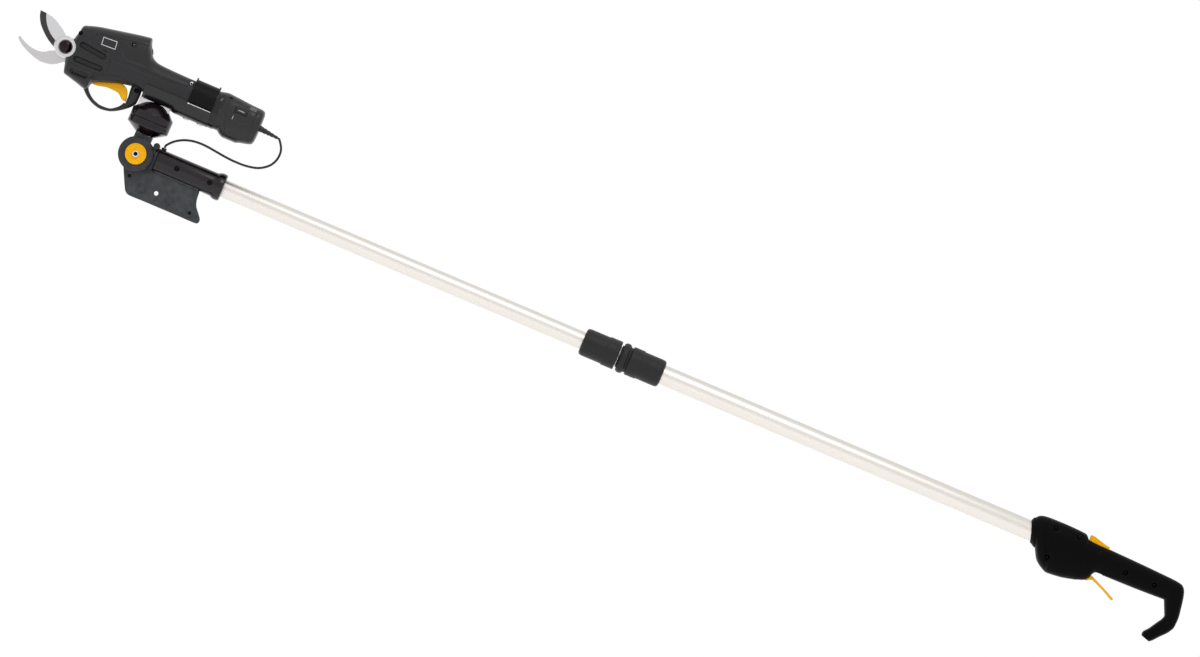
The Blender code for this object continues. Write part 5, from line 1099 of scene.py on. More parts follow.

# %% [markdown]
# The knob's knurl is a row of small ridges round its rim. The tree puts one ridge on each point of a
# circle.

# %% Knurl tree and the clamping knob
knurl_tree, given = new_tree(
    "Knurl", Radius="Float", Length="Float", Ridges="Int", Width="Float", Finish="Material",
)
circle = add(knurl_tree, "GeometryNodeCurvePrimitiveCircle", {
    "Resolution": given["Ridges"], "Radius": given["Radius"],
})
points = add(knurl_tree, "GeometryNodeCurveToPoints", {"Curve": circle.outputs[0]}, mode="EVALUATED")
ridge = add(knurl_tree, "GeometryNodeMeshCylinder", {
    "Vertices": 6, "Radius": given["Width"], "Depth": given["Length"],
})
placed = add(knurl_tree, "GeometryNodeInstanceOnPoints", {
    "Points": points.outputs[0], "Instance": ridge.outputs[0],
})
close_tree(knurl_tree, placed.outputs[0], given["Finish"])

knob_low, knob_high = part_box("tilt_lock_knob")
knob_top = knob_high.y / MM
knob_place = (middle("tilt_lock_knob").x, 0, middle("tilt_lock_knob").z)
ridges = grown("knob_knurl", knurl_tree, {
    "Radius": 4.1 * MM, "Length": 5.0 * MM, "Ridges": 22, "Width": 0.42 * MM, "Finish": cap_nylon,
})
ridges.transform(Matrix.Translation((knob_place[0], (knob_top - 3.6) * MM, knob_place[2])) @ AXES["Y"])
knob = bmesh.new()
knob.from_mesh(ridges)
profile = rounded([
    (knob_low.y / MM, 0), (knob_low.y / MM, 1.8), (knob_top - 7.0, 1.8), (knob_top - 7.0, 3.9),
    (knob_top - 0.6, 4.1), (knob_top, 3.4), (knob_top, 1.6), (knob_top - 1.0, 1.4), (knob_top - 1.0, 0),
], 0.4)
stem = turned(profile, "Y", knob_place, 48)
shown("tilt_lock_knob", merged(stem, knob), cap_nylon)

# %% [markdown]
# ## Swivel drum
#
# The drum is two turned halves with a fine seam between them. Polished black shows every highlight,
# so its corners get generous rounds and the sweep has many steps.

# %% Swivel drum
base_low, base_high = (v.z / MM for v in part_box("swivel_base"))
drum_place = (HINGE.x, 0, 0)
lower_half = rounded([
    (base_low - 0.25, 4.3), (base_low - 0.25, 13.0), (base_low + 8.6, 27.4), (base_low + 9.6, 28.0),
    (base_high - 0.3, 28.0), (base_high, 27.5), (base_high + 0.25, 27.2), (base_high + 0.25, 4.3),
], 0.7)
shown("swivel_base", turned(lower_half, "Z", drum_place, 160), gloss_black_nylon)
cover_low, cover_high = (v.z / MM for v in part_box("swivel_cover"))
upper_half = rounded([
    (cover_low, 4.4), (cover_low, 27.5), (cover_low + 0.4, 28.0), (cover_low + 9.3, 28.0),
    (cover_low + 19.6, 18.0), (cover_high - 1.8, 13.0), (cover_high, 7.5), (cover_high, 7.4),
    (cover_high - 12.0, 7.4), (cover_high - 12.0, 4.4),
], 0.9)
shown("swivel_cover", turned(upper_half, "Z", drum_place, 160), gloss_black_nylon)
print("drum", round(base_low), "to", round(cover_high), "mm")

# %% [markdown]
# ## Bracket plate
#
# A cast plate hangs under the socket, with a hole for a clip and two countersunk screws. Its outline
# flows round its lower corners, and two raised rings are cast into its face.

# %% Bracket plate
BRACKET_SCREWS = ((-2.8, -29.2), (-93.6, -43.6))
BRACKET_RINGS = ((-23.4, -38.4), (-63.1, -38.6))


def off_hinge(x, y, z):
    """A place in metres, from its millimetres off the hinge in the side view."""
    return HINGE.x + x * MM, y * MM, HINGE.z + z * MM


half = 3.0
bracket_outline = flowing([
    (9.6, -20.4), (-3.5, -46.4), (-6.6, -50.6), (-11.5, -52.9), (-30.0, -52.9), (-80.0, -52.9),
    (-106.0, -52.9), (-109.0, -51.0), (-109.3, -46.4), (-104.6, -39.8), (-99.0, -33.0), (-96.0, -25.4),
    (-94.8, -14.0), (-93.0, -10.0), (-31.0, -10.0), (-16.0, -10.0),
], (0, 12, 13, 14, 15), 1.0)
bracket = plate(bracket_outline, -half, half, 0.8, axis_point)
hole = rod("Y", -40, 40, 2.9, off_hinge(-43.8, 0, -36.9))
seat = rod("X", -150, -27, 15.7, (HINGE.x, 0, 0), 96)
wheel_room = rod("Y", -40, 40, 21.0, axis_point, 96)
sinks = [turned([(-4, 0), (-4, 1.5), (1.8, 1.5), (4.0, 3.9), (4.0, 0)], "Y", off_hinge(x, 0, z), 48)
         for x, z in BRACKET_SCREWS]
FILLET = [(8.0, -8.0), (8.0, -12.5), (6.2, -13.6), (4.6, -15.6), (3.5, -18.4), (2.9, -21.5)]
rail = prism(FILLET + [(-y, z) for y, z in FILLET[::-1]], -93, -31, axis_point)
rings = [turned([(half - 0.6, 4.0), (half + 0.7, 4.4), (half + 0.7, 5.5), (half - 0.6, 6.0)], "Y",
                off_hinge(x, 0, z), 64) for x, z in BRACKET_RINGS]
bracket_mesh = carved(bracket, [seat, wheel_room, merged(hole, *sinks)], [rail, merged(*rings)])
shown("bracket_plate", bracket_mesh, bracket_cast)
sunk = [off_hinge(x, half - 1.5, z) for x, z in BRACKET_SCREWS]
screws("bracket_screws_shown", sunk, 3.0, 1.1, 1.3, 3.6, black_bolt, "extension", [], 5)

# %% [markdown]
# ## Hand grip
#
# Two nylon shells meet in the middle plane. The sections bulge round the trigger and the tube at the
# front, and turn down into a hook at the end. Rooms for the levers, the tube and the screws are
# carved out, and each shell keeps its own side of the seam.

# %% Handle sections
HANDLE_STATIONS = [
    (152.4, 18.4, 137.6, -19.0, 18.6, 2.0), (148.5, 22.4, 133.8, -26.0, 20.5, 2.2),
    (141.8, 24.8, 130.2, -31.6, 22.0, 2.4), (130.0, 25.7, 121.6, -38.2, 23.0, 2.6),
    (112.0, 25.9, 111.0, -42.2, 23.0, 2.7), (95.0, 25.4, 95.0, -40.8, 22.4, 2.7),
    (84.0, 24.6, 84.0, -38.6, 21.5, 2.7), (80.4, 22.4, 80.4, -37.7, 20.8, 2.6),
    (77.4, 19.2, 77.2, -36.9, 20.2, 2.6), (70.0, 18.4, 69.6, -34.9, 19.2, 2.5),
    (63.4, 18.1, 62.8, -32.0, 18.5, 2.5), (59.6, 18.0, 58.6, -27.2, 18.1, 2.4),
    (57.2, 18.0, 56.4, -21.4, 17.8, 2.4), (53.0, 17.9, 52.0, -17.2, 17.4, 2.4),
    (30.0, 17.2, 30.0, -16.8, 16.8, 2.4), (0.0, 16.2, 0.0, -16.3, 16.4, 2.4),
    (-30.0, 14.9, -30.0, -15.3, 15.8, 2.4), (-46.0, 14.0, -42.0, -14.8, 15.2, 2.4),
    (-56.0, 12.4, -44.0, -17.5, 14.8, 2.4), (-61.5, 7.8, -45.5, -21.0, 14.4, 2.4),
    (-64.8, -1.0, -47.6, -25.5, 14.0, 2.5), (-67.8, -17.0, -49.8, -30.5, 13.6, 2.6),
    (-69.6, -31.5, -51.0, -34.6, 13.4, 2.7), (-69.2, -42.0, -49.8, -39.2, 13.2, 2.7),
    (-65.6, -50.4, -46.2, -45.0, 13.0, 2.7), (-56.0, -61.8, -39.6, -56.0, 12.6, 2.6),
    (-48.8, -70.2, -33.4, -65.4, 12.2, 2.5), (-46.0, -72.6, -33.9, -68.8, 10.4, 2.3),
]
HANDLE_SCREWS = [
    (123.3, 16.0, 14.0), (90.5, 17.2, 14.0), (119.5, -23.3, 14.0), (17.5, -1.8, 9.0), (-23.0, -2.3, 9.0),
]


def handle_relief(x, z):
    """A groove with a ridge behind it down the nose, and a dish round each screw."""
    nose_line = [(143.0, 30.0), (137.0, 12.0), (129.0, -6.0), (121.0, -20.0), (117.0, -40.0)]
    nose = groove(from_line(x, z, nose_line), 6.0, 1.6)
    nose -= groove(from_line(x, z, [(px - 6.5, pz) for px, pz in nose_line]), 8.0, 0.9)
    dishes = sum(step_down(4.6 - np.hypot(x - sx, z - sz), 1.6, 0.8) for sx, sz, _ in HANDLE_SCREWS)
    return nose + dishes


handle_grid = pushed(skin_points(HANDLE_STATIONS, 0.8, 110), handle_relief)
print("handle skin:", handle_grid.shape[0], "rings of", handle_grid.shape[1])


# %% [markdown]
# Both shells come from the one skin. The seam is a gap of 0.15 mm on each side, so it shows as a fine
# dark line.

# %% Handle shells
# Far enough to cut through any shell, in millimetres.
THROUGH = 90


def handle_cutters():
    """Rooms for the tube, its collar, the two levers, the hook's seat and the screws."""
    bore = rod("X", 78.3, 220, 13.3, steps=96)
    collar_room = rod("X", 125.3, 220, 15.5, steps=96)
    lever_room = block((44, 72.8), (-6.4, 6.4), (-36, -10.6))
    lever_front = block((72.0, 79), (-6.4, 6.4), (-22, -10.6))
    press_room = block((47.2, 77.4), (-5.4, 5.4), (8.6, 40))
    seat = block((-51.6, -38), (-7, 7), (-37.8, -31.4))
    return [bore, collar_room, lever_room, lever_front, press_room, seat,
            screw_rooms(HANDLE_SCREWS, Vector((0.0, 0.0, 0.0)))]


for name, side in (("handle_shell_left", 1), ("handle_shell_right", -1)):
    shown(name, carved(skinned(handle_grid, side), handle_cutters()), handle_nylon, SKIN_SHARP)
screws("handle_screws_shown", [(x * MM, s * MM, z * MM) for x, z, s in HANDLE_SCREWS], 2.8, 2.2, 1.4, 12.0,
       black_bolt, "handle", [f"handle_screw_{i}" for i in range(1, 6)], 7)

# %% [markdown]
# The collar where the tube enters the grip leans with the nose. Each of its rings is a tilted circle,
# given by its place, its lean and how far it stands off the tube.

# %% Nose collar
NOSE_RINGS = [
    (137.0, 0.0, 2.1), (144.8, 0.396, 2.1), (144.8, 0.396, 5.0), (146.4, 0.39, 5.2), (148.0, 0.37, 4.2),
    (149.4, 0.35, 2.6), (151.2, 0.32, 1.4), (151.4, 0.32, 0.3), (137.0, 0.0, 0.3),
]
COLLAR_SIDES = 96
collar = bmesh.new()
loops = []
for x, lean, stand in NOSE_RINGS:
    r = 13.0 + stand
    turns = [2 * math.pi * k / COLLAR_SIDES for k in range(COLLAR_SIDES)]
    ring = [(x + lean * r * math.sin(a), r * math.cos(a), r * math.sin(a)) for a in turns]
    loops.append([collar.verts.new(Vector(p) * MM) for p in ring])
bridged(collar, loops + loops[:1])
shown("nose_collar", collar, handle_nylon, 50)

# %% [markdown]
# The trigger and the lock-off are yellow levers. Their outlines flow through the same points as the
# CAD levers, and their rims are rounded where fingers touch them.

# %% Levers of the handle
def lever(node, outline, pivot, half_width, rim, pin_radius, pin_half):
    """A yellow lever: its outline as a plate, with the round trunnions that it turns on."""
    body = plate(outline, -half_width, half_width, rim, pivot)
    pin = rod("Y", -pin_half, pin_half, pin_radius, pivot, 32)
    shown(node, carved(body, [], [pin]), yellow_nylon)


trigger_pivot = Vector((66.0, 0.0, -26.0)) * MM
lever_outline = flowing([
    (4.6, 3.6), (3.4, 12.0), (-0.6, 12.0), (-2.6, 6.2), (-7.6, 4.0), (-12.0, 2.4), (-26.0, -3.6),
    (-36.0, -8.2), (-44.0, -12.2), (-46.8, -13.6), (-47.6, -14.8), (-46.4, -16.2), (-44.0, -15.6),
    (-36.0, -11.4), (-26.0, -6.8), (-13.0, -2.0), (-9.0, -3.0), (-5.6, -5.2), (0.0, -5.2), (4.0, -3.4),
    (5.2, 0.0),
], (0, 1, 2), 0.7)
lever("handle_trigger", lever_outline, trigger_pivot, 6, 0.7, 2.0, 12.6)
lock_off_pivot = Vector((50.5, 0.0, 12.5)) * MM
lock_off_outline = flowing([
    (26.2, 7.6), (25.8, 13.2), (20.0, 12.9), (13.8, 11.4), (5.0, 9.0), (-1.6, 7.5), (-2.6, 4.6), (-2.6, -1.6),
    (0.0, -2.6), (2.6, -1.6), (5.0, 1.0), (18.0, 1.4), (26.0, 1.4),
], (0, 12), 0.7)
lever("lock_off_lever", lock_off_outline, lock_off_pivot, 5, 0.6, 2.0, 11)

# %% [markdown]
# ## Pruner housing
#
# Two shells again, with a thick nose that holds the blades, a raised boss panel, long slots beside
# it, and a trigger guard that sweeps under the grip. The cap on top is a piece of its own.

# %% Pruner sections
PRUNER_STATIONS = [
    (133.0, 13.4, 132.3, -17.7, 12.0, 2.6), (130.0, 24.0, 130.1, -25.2, 17.0, 2.8),
    (127.1, 34.5, 127.7, -32.1, 20.5, 3.0), (120.5, 37.3, 118.5, -34.9, 23.5, 3.0),
    (108.3, 41.1, 106.5, -38.1, 25.2, 3.0), (98.5, 43.2, 97.5, -40.7, 26.0, 3.0),
    (93.5, 44.2, 93.2, -41.2, 26.0, 3.0), (90.0, 44.9, 89.5, -31.2, 26.0, 3.0),
    (68.5, 49.2, 67.5, -21.1, 26.2, 3.0), (52.5, 52.2, 52.5, -16.2, 25.8, 3.0),
    (40.2, 54.0, 38.5, -13.7, 24.4, 3.0), (36.4, 45.6, 33.5, -13.2, 23.4, 2.8),
    (32.2, 37.8, 28.6, -13.6, 22.2, 2.7), (28.1, 31.2, 24.6, -15.0, 21.2, 2.6),
    (18.5, 26.9, 16.5, -16.8, 20.2, 2.6), (6.5, 25.9, 6.5, -17.8, 19.6, 2.6),
    (-28.5, 25.0, -28.5, -18.6, 19.0, 2.6), (-71.5, 25.2, -71.5, -18.6, 19.2, 2.6),
]
GUARD_STATIONS = [
    (99.0, -38.5, 93.4, -30.0, 6.0, 2.4), (94.2, -43.6, 90.2, -38.6, 6.2, 2.4),
    (86.8, -49.7, 85.0, -44.6, 6.4, 2.4), (77.0, -54.8, 76.5, -49.8, 6.5, 2.4),
    (66.5, -57.0, 66.5, -52.3, 6.6, 2.4), (56.5, -55.8, 57.0, -51.8, 6.6, 2.4),
    (47.5, -52.2, 49.5, -48.0, 6.8, 2.4), (37.5, -45.6, 43.0, -41.2, 7.2, 2.4),
    (30.0, -38.8, 40.3, -34.0, 7.8, 2.4), (25.4, -31.5, 39.3, -27.4, 8.4, 2.4),
    (24.9, -21.5, 39.7, -20.4, 8.8, 2.4), (25.6, -10.0, 40.6, -9.0, 9.0, 2.4),
]
HOUSING_SCREWS = [(56.9, 36.4, 16.5), (-31.2, 19.4, 11.5), (127.0, 24.0, 13.5), (31.5, -16.6, 4.0)]
PIVOT_X = (BLADE.x - GRIP.x) / MM
HOUSING_SLOTS = [
    ((118.6, 10.8), (87.5, 7.2)), ((119.6, -9.4), (86.0, -9.1)), ((118.0, -26.3), (100.0, -25.4)),
]
# Grooves as (line, width, depth): the panel's seam, the line above it, the line below it, the rib round
# the slots, and the arc that carries on from the trigger's guard.
HOUSING_GROOVES = [
    ([(107.4, 30.6), (110.8, 18.4), (104.0, 16.4), (92.3, 15.8), (83.1, 13.5), (76.3, 9.6), (54.9, 10.4),
      (24.3, 11.5), (-3.0, 12.7), (-30.0, 14.0)], 2.4, 0.9),
    ([(107.4, 30.6), (95.9, 33.9), (79.3, 36.3), (63.1, 39.6), (47.5, 42.0), (35.0, 43.4)], 2.2, 0.8),
    ([(80.0, 6.6), (53.9, 8.0), (23.1, 8.9), (-12.0, 10.6), (-16.0, 8.0), (-21.0, 0.0)], 2.2, 0.8),
    ([(94.0, 14.6), (87.7, 14.4), (81.1, 11.2), (77.2, 5.6), (75.6, -3.0), (77.3, -10.0), (81.4, -14.8),
      (88.5, -17.4), (115.6, -17.4), (124.0, -17.3)], 2.2, 0.9),
    ([(94.0, -26.0), (84.0, -18.5), (71.4, -11.8), (57.1, -8.9), (43.2, -12.1), (35.8, -20.3),
      (32.9, -27.3)], 2.2, 0.8),
]
PENTAGON = [(69.6, 24.0), (61.9, 27.4), (36.0, 31.6), (30.0, 16.6), (38.5, 15.8), (58.0, 14.6)]


def housing_relief(x, z):
    """The grooves, the five-sided recess, the three slots and the dishes of the bright screws."""
    grooves = [groove(from_line(x, z, line), width, depth) for line, width, depth in HOUSING_GROOVES]
    recess = step_down(into_outline(x, z, PENTAGON), 1.6, 0.9)
    slots = sum(step_down(3.3 - from_line(x, z, slot), 1.8, 4.5) for slot in HOUSING_SLOTS)
    heads = sum(step_down(5.0 - np.hypot(x - sx, z - sz), 1.2, 1.4) for sx, sz, _ in HOUSING_SCREWS[:2])
    return grooves[0] + grooves[1] + grooves[2] + recess + slots + grooves[3] + grooves[4] + heads


housing_grid = pushed(skin_points(PRUNER_STATIONS, 0.7, 190), housing_relief)
guard_grid = skin_points(GUARD_STATIONS, 1.2, 24)
print("housing skin:", housing_grid.shape[0], "rings of", housing_grid.shape[1])

# %% [markdown]
# What is taken out of the housing: the cap's place, a round notch and a slot for the blades, the
# trigger's pocket, the screws' rooms and the power button's hole.

# %% Cutters of the housing
trigger_place = at(87.6, 0.0, -29.0)
pocket_outline = [
    (4.0, -2.6), (3.2, 2.0), (-7.0, 8.4), (-20.4, 14.2), (-33.4, 18.2), (-42.0, 17.2), (-47.4, 10.6),
    (-48.9, 2.6), (-48.9, -8.5), (-29.0, -8.5), (-2.0, -5.4),
]
CAP_LINE = [(127.2, 31.75), (36.0, 45.25), (20.0, 47.65)]


BUTTON_LEAN = Matrix.Translation(at(32.3, 0, 38.2)) @ Matrix.Rotation(math.radians(-61.6), 4, "Y")


def button_room():
    """The round hole that the power button sits in, as steep as the shell is there."""
    room = turned([(-5.8, 0), (-5.8, 4.35), (6.0, 4.35), (6.0, 0)], "Z", (0, 0, 0), 64)
    bmesh.ops.transform(room, matrix=BUTTON_LEAN, verts=room.verts)
    return room


def housing_cutters():
    """Rooms for the cap, the blades and their sweep, the trigger, the screws and the button."""
    notch = rod("Y", -THROUGH, THROUGH, 14.9, at(PIVOT_X, 0, 0), 96)
    slot = block((109, 140), (-4.5, 6.5), (-26, 25), GRIP)
    sweep = block((96, 112), (-0.4, 3.9), (-24, 24), GRIP)
    pocket = plate(pocket_outline, -6.9, 6.9, KEEN, trigger_place)
    above = plate([*CAP_LINE, (20.0, 80.0), (150.0, 80.0), (150.0, 28.1)], -THROUGH, THROUGH, KEEN, GRIP)
    return [above, notch, slot, sweep, pocket, screw_rooms(HOUSING_SCREWS, GRIP), button_room()]


# %% [markdown]
# Each shell takes its half of the guard before the rooms are cut. Two of the four screws are bright,
# with black plugs in their drives as painted shade, and two are black.

# %% Housing shells
for name, side in (("pruner_shell_left", 1), ("pruner_shell_right", -1)):
    guard = skinned(guard_grid, side, GRIP)
    mesh = carved(skinned(housing_grid, side, GRIP), housing_cutters(), [guard])
    shown(name, mesh, housing_nylon, SKIN_SHARP)
for start, material, slot in ((0, bright_bolt, "bright_bolt"), (2, black_bolt, "black_bolt")):
    seats = [at(x, s, z) for x, z, s in HOUSING_SCREWS[start : start + 2]]
    names = [f"housing_screw_{start + 1}", f"housing_screw_{start + 2}"]
    screws(f"housing_screws_{slot}", seats, 2.9, 2.3, 1.4, 12.0, material, "pruner", names, start)
# Painted shade: black plugs fill the bright screws' drive recesses, where the hollows would look dark.
shade_plugs = [rod("Y", 1.2, 2.32, 1.5, at(x, s, z), 24) for x, z, s in HOUSING_SCREWS[:2]]
finished("housing_screw_drives", merged(*shade_plugs), black_bolt, "pruner")

# %% [markdown]
# The plate is a bright rim round a dark field. The photograph has lettering in it, and here it stays
# bare.

# %% Name plate
PLATE_CORNERS = [(97.0, 31.2), (77.6, 32.2), (76.6, 21.4), (96.0, 20.4)]
finished("name_plate_rim", plate(PLATE_CORNERS, 25.2, 26.5, 0.3, GRIP), bright_bolt, "pruner")
field = plate(drawn_in(np.array(PLATE_CORNERS), 0.9), 25.2, 26.65, 0.1, GRIP)
finished("name_plate_field", field, cap_nylon, "pruner")

# %% [markdown]
# The cap is the same skin, kept above the line where the shells stop. The button points out of the
# steep slope at its back.

# %% Top cap and power button
cap_low = [(127.2, 31.8), (36.0, 45.3), (20.0, 47.7), (20.0, -80.0), (150.0, -80.0), (150.0, 28.4)]
cap_grid = skin_points(PRUNER_STATIONS[:12], 0.9, 90)
cap_mesh = carved(skinned(cap_grid, 0, GRIP), [plate(cap_low, -THROUGH, THROUGH, KEEN, GRIP), button_room()])
shown("top_cap", cap_mesh, cap_nylon, SKIN_SHARP)
button = turned(rounded([(-4.2, 0), (-4.2, 4.0), (0.2, 4.0), (0.8, 3.2), (0.8, 0)], 0.5), "Z", (0, 0, 0), 64)
bmesh.ops.transform(button, matrix=BUTTON_LEAN, verts=button.verts)
shown("power_button", button, cap_nylon)

# %% [markdown]
# ## Cradle, strap and battery case
#
# The pruner lies in a cradle that bolts to the swivel, and a strap closes over it. The battery case
# pushes into the grip's open end. All three are moulded skins of their own.

# %% Cradle and strap
CRADLE_STATIONS = [
    (22.6, 25.0, 22.6, -22.2, 21.8, 2.5), (18.5, 27.0, 18.5, -23.0, 22.4, 2.6),
    (-17.0, 27.0, -17.0, -23.0, 22.6, 2.6), (-24.0, 27.0, -24.0, -25.0, 22.6, 2.6),
    (-70.5, 27.0, -70.5, -25.0, 22.6, 2.6),
]


def drum_envelope(grow):
    """The swivel drum's outer form, larger by grow millimetres."""
    return turned([
        (cover_low - 1, 0), (cover_low - 1, 28 + grow), (cover_low + 9.3, 28 + grow),
        (cover_low + 19.6, 18 + grow), (cover_high - 1.8 + grow, 13 + grow), (cover_high + grow, 7.5 + grow),
        (cover_high + grow, 0),
    ], "Z", drum_place, 96)


def grip_room():
    """The pruner's grip, a little larger, to be cut out of what holds it."""
    return skinned(skin_points(PRUNER_STATIONS[13:], 3.0, 40, -0.4), 0, GRIP)


# The cradle's top edge is cut level, with a chamfer outside that catches the light.
RIM = 21.2
RIM_Z = -3.0
chamfer_end = (60, RIM_Z - 60 + RIM)
half_above = [(60, 60), chamfer_end, (RIM, RIM_Z)]
above = prism([(-y, z) for y, z in half_above[::-1]] + half_above, -100, 60, GRIP)
saddle_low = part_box("saddle_plate")[0].z - GRIP.z
saddle_room = block((-18.8, 23.8), (-10.3, 10.3), (saddle_low / MM - 0.3, -19.2), GRIP)
feet = merged(*[turned([(-34, 0), (-34, 4.9), (-23.9, 4.9), (-23.9, 2.1), (-16, 2.1), (-16, 0)], "Z",
                       at(x, 0, 0), 48) for x in (-41.5, -60.5)])
cradle_mesh = carved(skinned(skin_points(CRADLE_STATIONS, 1.0, 60), 0, GRIP),
                     [grip_room(), above, drum_envelope(0.3), saddle_room, feet])
shown("cradle", cradle_mesh, cradle_nylon)
for node in ("cradle_screw_1", "cradle_screw_2"):
    softened(node, 0.4, bright_bolt)
STRAP_STATIONS = [(-35.5, 28.0, -35.5, -28.0, 22.6, 2.6), (-68.5, 28.0, -68.5, -28.0, 22.6, 2.6)]
fins = merged(block((-36.9, -35.5), (-8, 8), (24, 30), GRIP), block((-68.5, -67.1), (-8, 8), (24, 30), GRIP))
strap_mesh = carved(skinned(skin_points(STRAP_STATIONS, 1.0, 70), 0, GRIP),
                    [grip_room(), block((-100, 60), (-60, 60), (-60, -2.7), GRIP)], [fins])
shown("strap_band", strap_mesh, strap_nylon)

# %% [markdown]
# A steel pin lies along the cradle's rim on each side, and the strap hooks over it.

# %% Strap pins
pin_profile = [(-68.5, 0), (-68.5, 0.55), (-38.6, 0.55), (-38.6, 1.3), (-36.6, 1.3), (-36.6, 0)]
pins = [turned(rounded(pin_profile, 0.25), "X", at(0.0, 22.4 * side, -5.4), 24) for side in (1, -1)]
finished("strap_pins", merged(*pins), saddle_alloy, "pruner")

# %% [markdown]
# The case swells behind its collar and rounds off at the end. Relief gives it a raised panel beside the
# latch, and a window is cut for the latch.

# %% Battery case
PACK_STATIONS = [
    (-70.7, 25.4, -70.7, -24.2, 21.6, 2.6), (-81.5, 27.5, -83.5, -23.4, 22.2, 2.7),
    (-89.5, 26.9, -89.0, -26.9, 23.6, 2.8), (-96.5, 26.4, -95.5, -29.2, 24.2, 2.8),
    (-111.5, 25.1, -111.5, -29.1, 24.2, 2.8), (-117.0, 24.7, -117.5, -27.0, 24.0, 2.8),
    (-128.5, 24.3, -128.5, -24.3, 23.0, 2.7), (-133.0, 22.5, -133.0, -22.0, 21.0, 2.5),
    (-134.5, 18.5, -134.5, -18.0, 18.0, 2.3),
]


def pack_relief(x, z):
    """The case's grooves, and its raised panel beside the latch."""
    front = groove(from_line(x, z, [(-77.7, 30.0), (-79.0, 5.0), (-88.5, -4.2), (-96.7, -30.0)]), 2.2, 0.9)
    panel = [(-95.2, 15.0), (-116.1, 16.0), (-119.4, 1.6), (-115.0, -3.4), (-98.4, -3.2)]
    lift = step_down(into_outline(x, z, panel), 1.6, -0.9)
    hinge_line = groove(from_line(x, z, [(-97.2, 14.0), (-98.4, -3.0)]), 1.2, 0.6)
    rear = groove(from_line(x, z, [(-124.5, 28.0), (-125.5, -28.0)]), 2.2, 0.9)
    return front + lift + hinge_line + rear


pack_grid = pushed(skin_points(PACK_STATIONS, 0.6, 130), pack_relief)
latch_low, latch_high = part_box("pack_latch")
latch_middle = (latch_low + latch_high) / 2
window = block((-8.4, 8.4), (-9, 9), (-4, 4), latch_middle)
recess = rod("X", -132.4, -142, 4.8, at(0, 0, 0.8), 48)
pack_mesh = carved(skinned(pack_grid, 0, GRIP), [window, recess])
shown("battery_case", pack_mesh, cap_nylon, SKIN_SHARP)
softened("pack_latch", 0.8, cap_nylon)

# %% [markdown]
# The marks, the light window, the one screw and the glossy collar are trim. A short pale bar on the
# hinge line is a painted glint of the hinge pin. What lies on the case is set at the height of its skin
# there.

# %% Small trim of the battery case
def on_skin(grid, x, z):
    """How far out the skin lies at a place in the side view."""
    away = np.hypot(grid[..., 0] - x, grid[..., 2] - z)
    return float(grid.reshape(-1, 3)[np.argmin(away)][1])


def on_case(x, z, sink=0.0):
    """A place on the case's side, sunk by some millimetres."""
    return GRIP + Vector((x, on_skin(pack_grid, x, z) - sink, z)) * MM


on_latch = Vector((latch_middle.x, latch_high.y, latch_middle.z))
light_window = block((-4.2, 4.2), (-0.5, 0.2), (-0.6, 0.6), on_latch)
finished("latch_window", light_window, case_grey, "pack_latch")
marks_and_glint = [block((-4.6, 4.6), (-1.2, 0.4), (-0.25, 0.25), on_case(-118.4, 21.4 - 1.3 * k)) for k in range(3)]
# Painted highlight: a short upright pale bar on the hinge line stands for the glint of the hinge pin.
marks_and_glint += [block((-0.5, 0.5), (-0.5, 0.35), (-2.5, 2.5), on_case(-97.9, 0.0))]
finished("case_marks", merged(*marks_and_glint), case_grey, "pruner")
screws("case_screw_shown", [on_case(-86.0, 21.8, 1.8)], 2.6, 1.9, 1.2, 4.0, black_bolt,
       "pruner", [], 9)
collar_stations = [(-70.75, 25.6, -70.75, -24.4, 22.3, 2.6), (-73.5, 26.3, -73.5, -24.6, 22.9, 2.6),
                   (-77.2, 26.9, -77.2, -24.7, 22.6, 2.6)]
collar_skin = skinned(skin_points(collar_stations, 0.8, 90), 0, GRIP)
collar_room = rod("X", -100, -20, 17.0, GRIP, 64)
finished("case_collar", carved(collar_skin, [collar_room]), gloss_black_nylon, "pruner", [], 50)

# %% [markdown]
# The boot is turned with four rings, each thinner than the last, and then laid along the line from
# the case to the lead.

# %% Boot of the lead
boot_length = (boot_tail - boot_end).length / MM
boot = [(0, 0), (0, 4.2), (-1.6, 4.2)]
ONE_RING = ((0, 0), (2.2, 0.1), (2.4, 0.7), (3.2, 0.7))
for k in range(4):
    along, radius = 3.4 + k * 5.2, 4.0 - k * 0.45
    boot += [(-along - further, radius - less) for further, less in ONE_RING]
boot += [(-boot_length + 1, 2.2), (-boot_length - 0.7, 1.9), (-boot_length - 0.7, 0)]
boot_mesh = turned(rounded(boot, 0.35), "X", (0, 0, 0), 48)
tilt = -math.atan2(boot_tail.z - boot_end.z, boot_tail.x - boot_end.x)
place = Matrix.Translation(GRIP + boot_tail) @ Matrix.Rotation(tilt, 4, "Y")
bmesh.ops.transform(boot_mesh, matrix=place, verts=boot_mesh.verts)
shown("strain_relief", boot_mesh, lead_rubber)

# %% [markdown]
# ## Blades
#
# The cutting blade swings past a hooked counter blade, as scissors do. Its outline is an arc round the
# bolt, the curved edge and the spine. The edge's points are those that its coated band follows.

# %% Blades
SPINE = [(38.7, 30.5), (28.7, 28.5), (14.0, 20.6), (5.0, 13.8)]
COUNTER_UPPER = [(17.4, -12.6), (24.2, -17.3), (34.5, -18.8), (46.1, -16.6), (56.6, -12.1), (60.2, -10.0)]
COUNTER_LOWER = [(61.9, -11.6), (60.6, -14.2), (53.7, -19.8), (40.5, -25.9), (25.1, -30.2), (12.0, -29.2),
                 (2.9, -25.3), (-4.5, -19.5)]
blade_place = Vector((BLADE.x, 0, BLADE.z))


def arc(radius, start, end, steps):
    """Points on an arc round the blades' bolt, between two angles in degrees."""
    angles = [math.radians(start + (end - start) * k / steps) for k in range(steps + 1)]
    return [(radius * math.cos(a), radius * math.sin(a)) for a in angles]


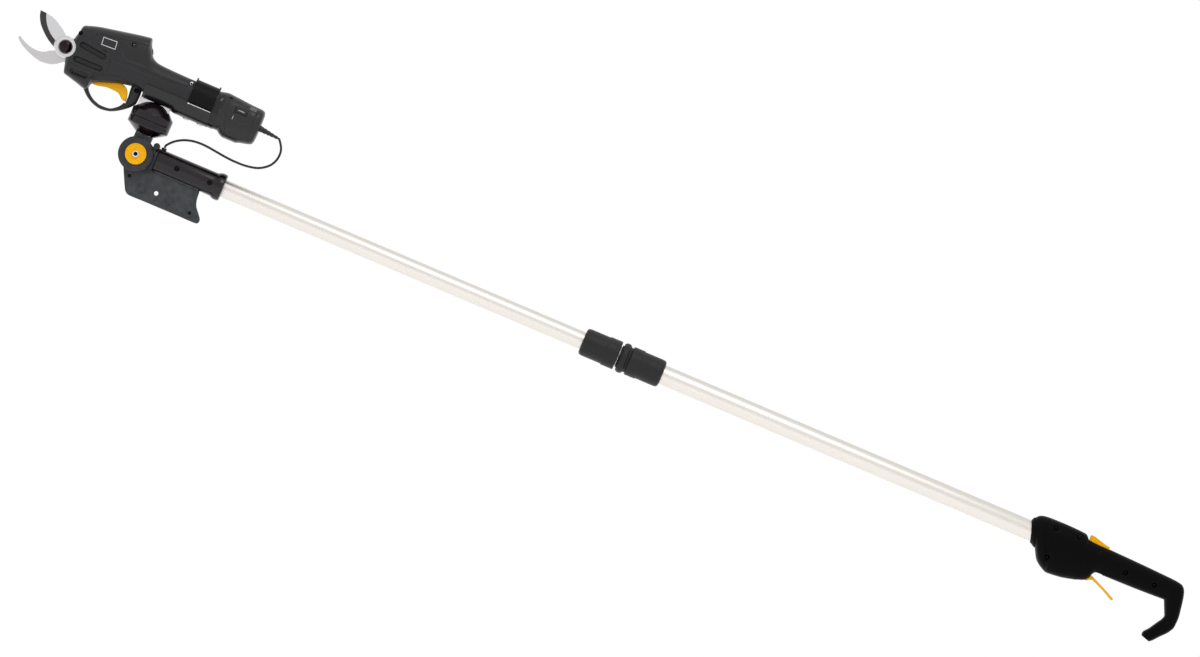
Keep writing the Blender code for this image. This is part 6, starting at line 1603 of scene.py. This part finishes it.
boss = arc(14.6, 74, 175, 20) + arc(37.0, 175, 237, 30) + arc(14.6, 237, 330, 20)
blade_side = flowing([boss[-1], *EDGE, *SPINE, boss[0]], (0, 6, 11), 0.8, closed=False)
cutting = plate(boss[:-1] + [tuple(p) for p in blade_side[:-1]], 0.15, 3.35, 0.35, blade_place)
hub_profile = [(2.9, 4.4), (2.9, 14.6), (5.5, 14.6), (6.15, 13.8), (6.15, 9.2), (5.0, 9.1), (5.0, 4.4)]
hub = turned(rounded(hub_profile, 0.4), "Y", blade_place, 128)
cutting_mesh = carved(cutting, [rod("Y", -40, 40, 4.4, blade_place)], [hub])
shown("cutting_blade", cutting_mesh, cutting_steel, 30)
hook = flowing([(-16.0, -14.5), *COUNTER_LOWER[::-1], *COUNTER_UPPER[::-1]], (0, 8, 9, 14), 0.8, closed=False)
heel = arc(13.0, -45, 150, 24) + [(-30.0, 8.5), (-30.0, -13.5)]
counter = plate(heel + [tuple(p) for p in hook], -4.15, -0.15, 0.5, blade_place)
counter_mesh = carved(counter, [rod("Y", -40, 40, 4.3, blade_place)])
shown("counter_blade", counter_mesh, counter_steel, 30)
dome = [(7.6 + 4.95 * math.sin(math.radians(t)), 8.5 * math.cos(math.radians(t))) for t in range(0, 91, 6)]
nut_profile = [(9.7, 0), (9.7, 4.3), (5.2, 4.3), (5.2, 8.3), (5.4, 8.5), *dome[:-1], (12.55, 0)]
shown("blade_nut", turned(nut_profile, "Y", blade_place, 64), dark_chrome)

# %% [markdown]
# The finger trigger is the third lever, with softer rims than the other two.

# %% Finger trigger
finger_outline = flowing([
    (0.6, -1.8), (1.6, 0.0), (-7.0, 5.4), (-20.4, 10.2), (-33.0, 13.4), (-40.0, 11.8), (-44.8, 7.2),
    (-47.2, 0.6), (-47.9, -6.3), (-43.6, -6.0), (-35.6, 0.0), (-27.6, 1.2), (-17.6, 1.2), (-7.6, -1.2),
], (8,), 0.7)
lever("finger_trigger", finger_outline, trigger_place, 6.5, 1.2, 1.6, 9.2)

# %% [markdown]
# ## Pieces inside
#
# What the shells hide keeps its CAD form and gets its own finish.

# %% Finishes of the inner pieces
INNER_FINISHES = {
    "guide_bush": bush_acetal, "lock_collet": bush_acetal, "trigger_switch": gloss_black_nylon,
    "swivel_bolt": bright_bolt, "motor": bright_bolt, "gearbox": saddle_alloy,
    "circuit_board": board_laminate, "pinion": coated_steel, "battery_cells": cell_sleeve,
}
for node, material in INNER_FINISHES.items():
    nodes[node].data.materials.clear()
    nodes[node].data.materials.append(material)
print(len(INNER_FINISHES), "inner pieces finished")
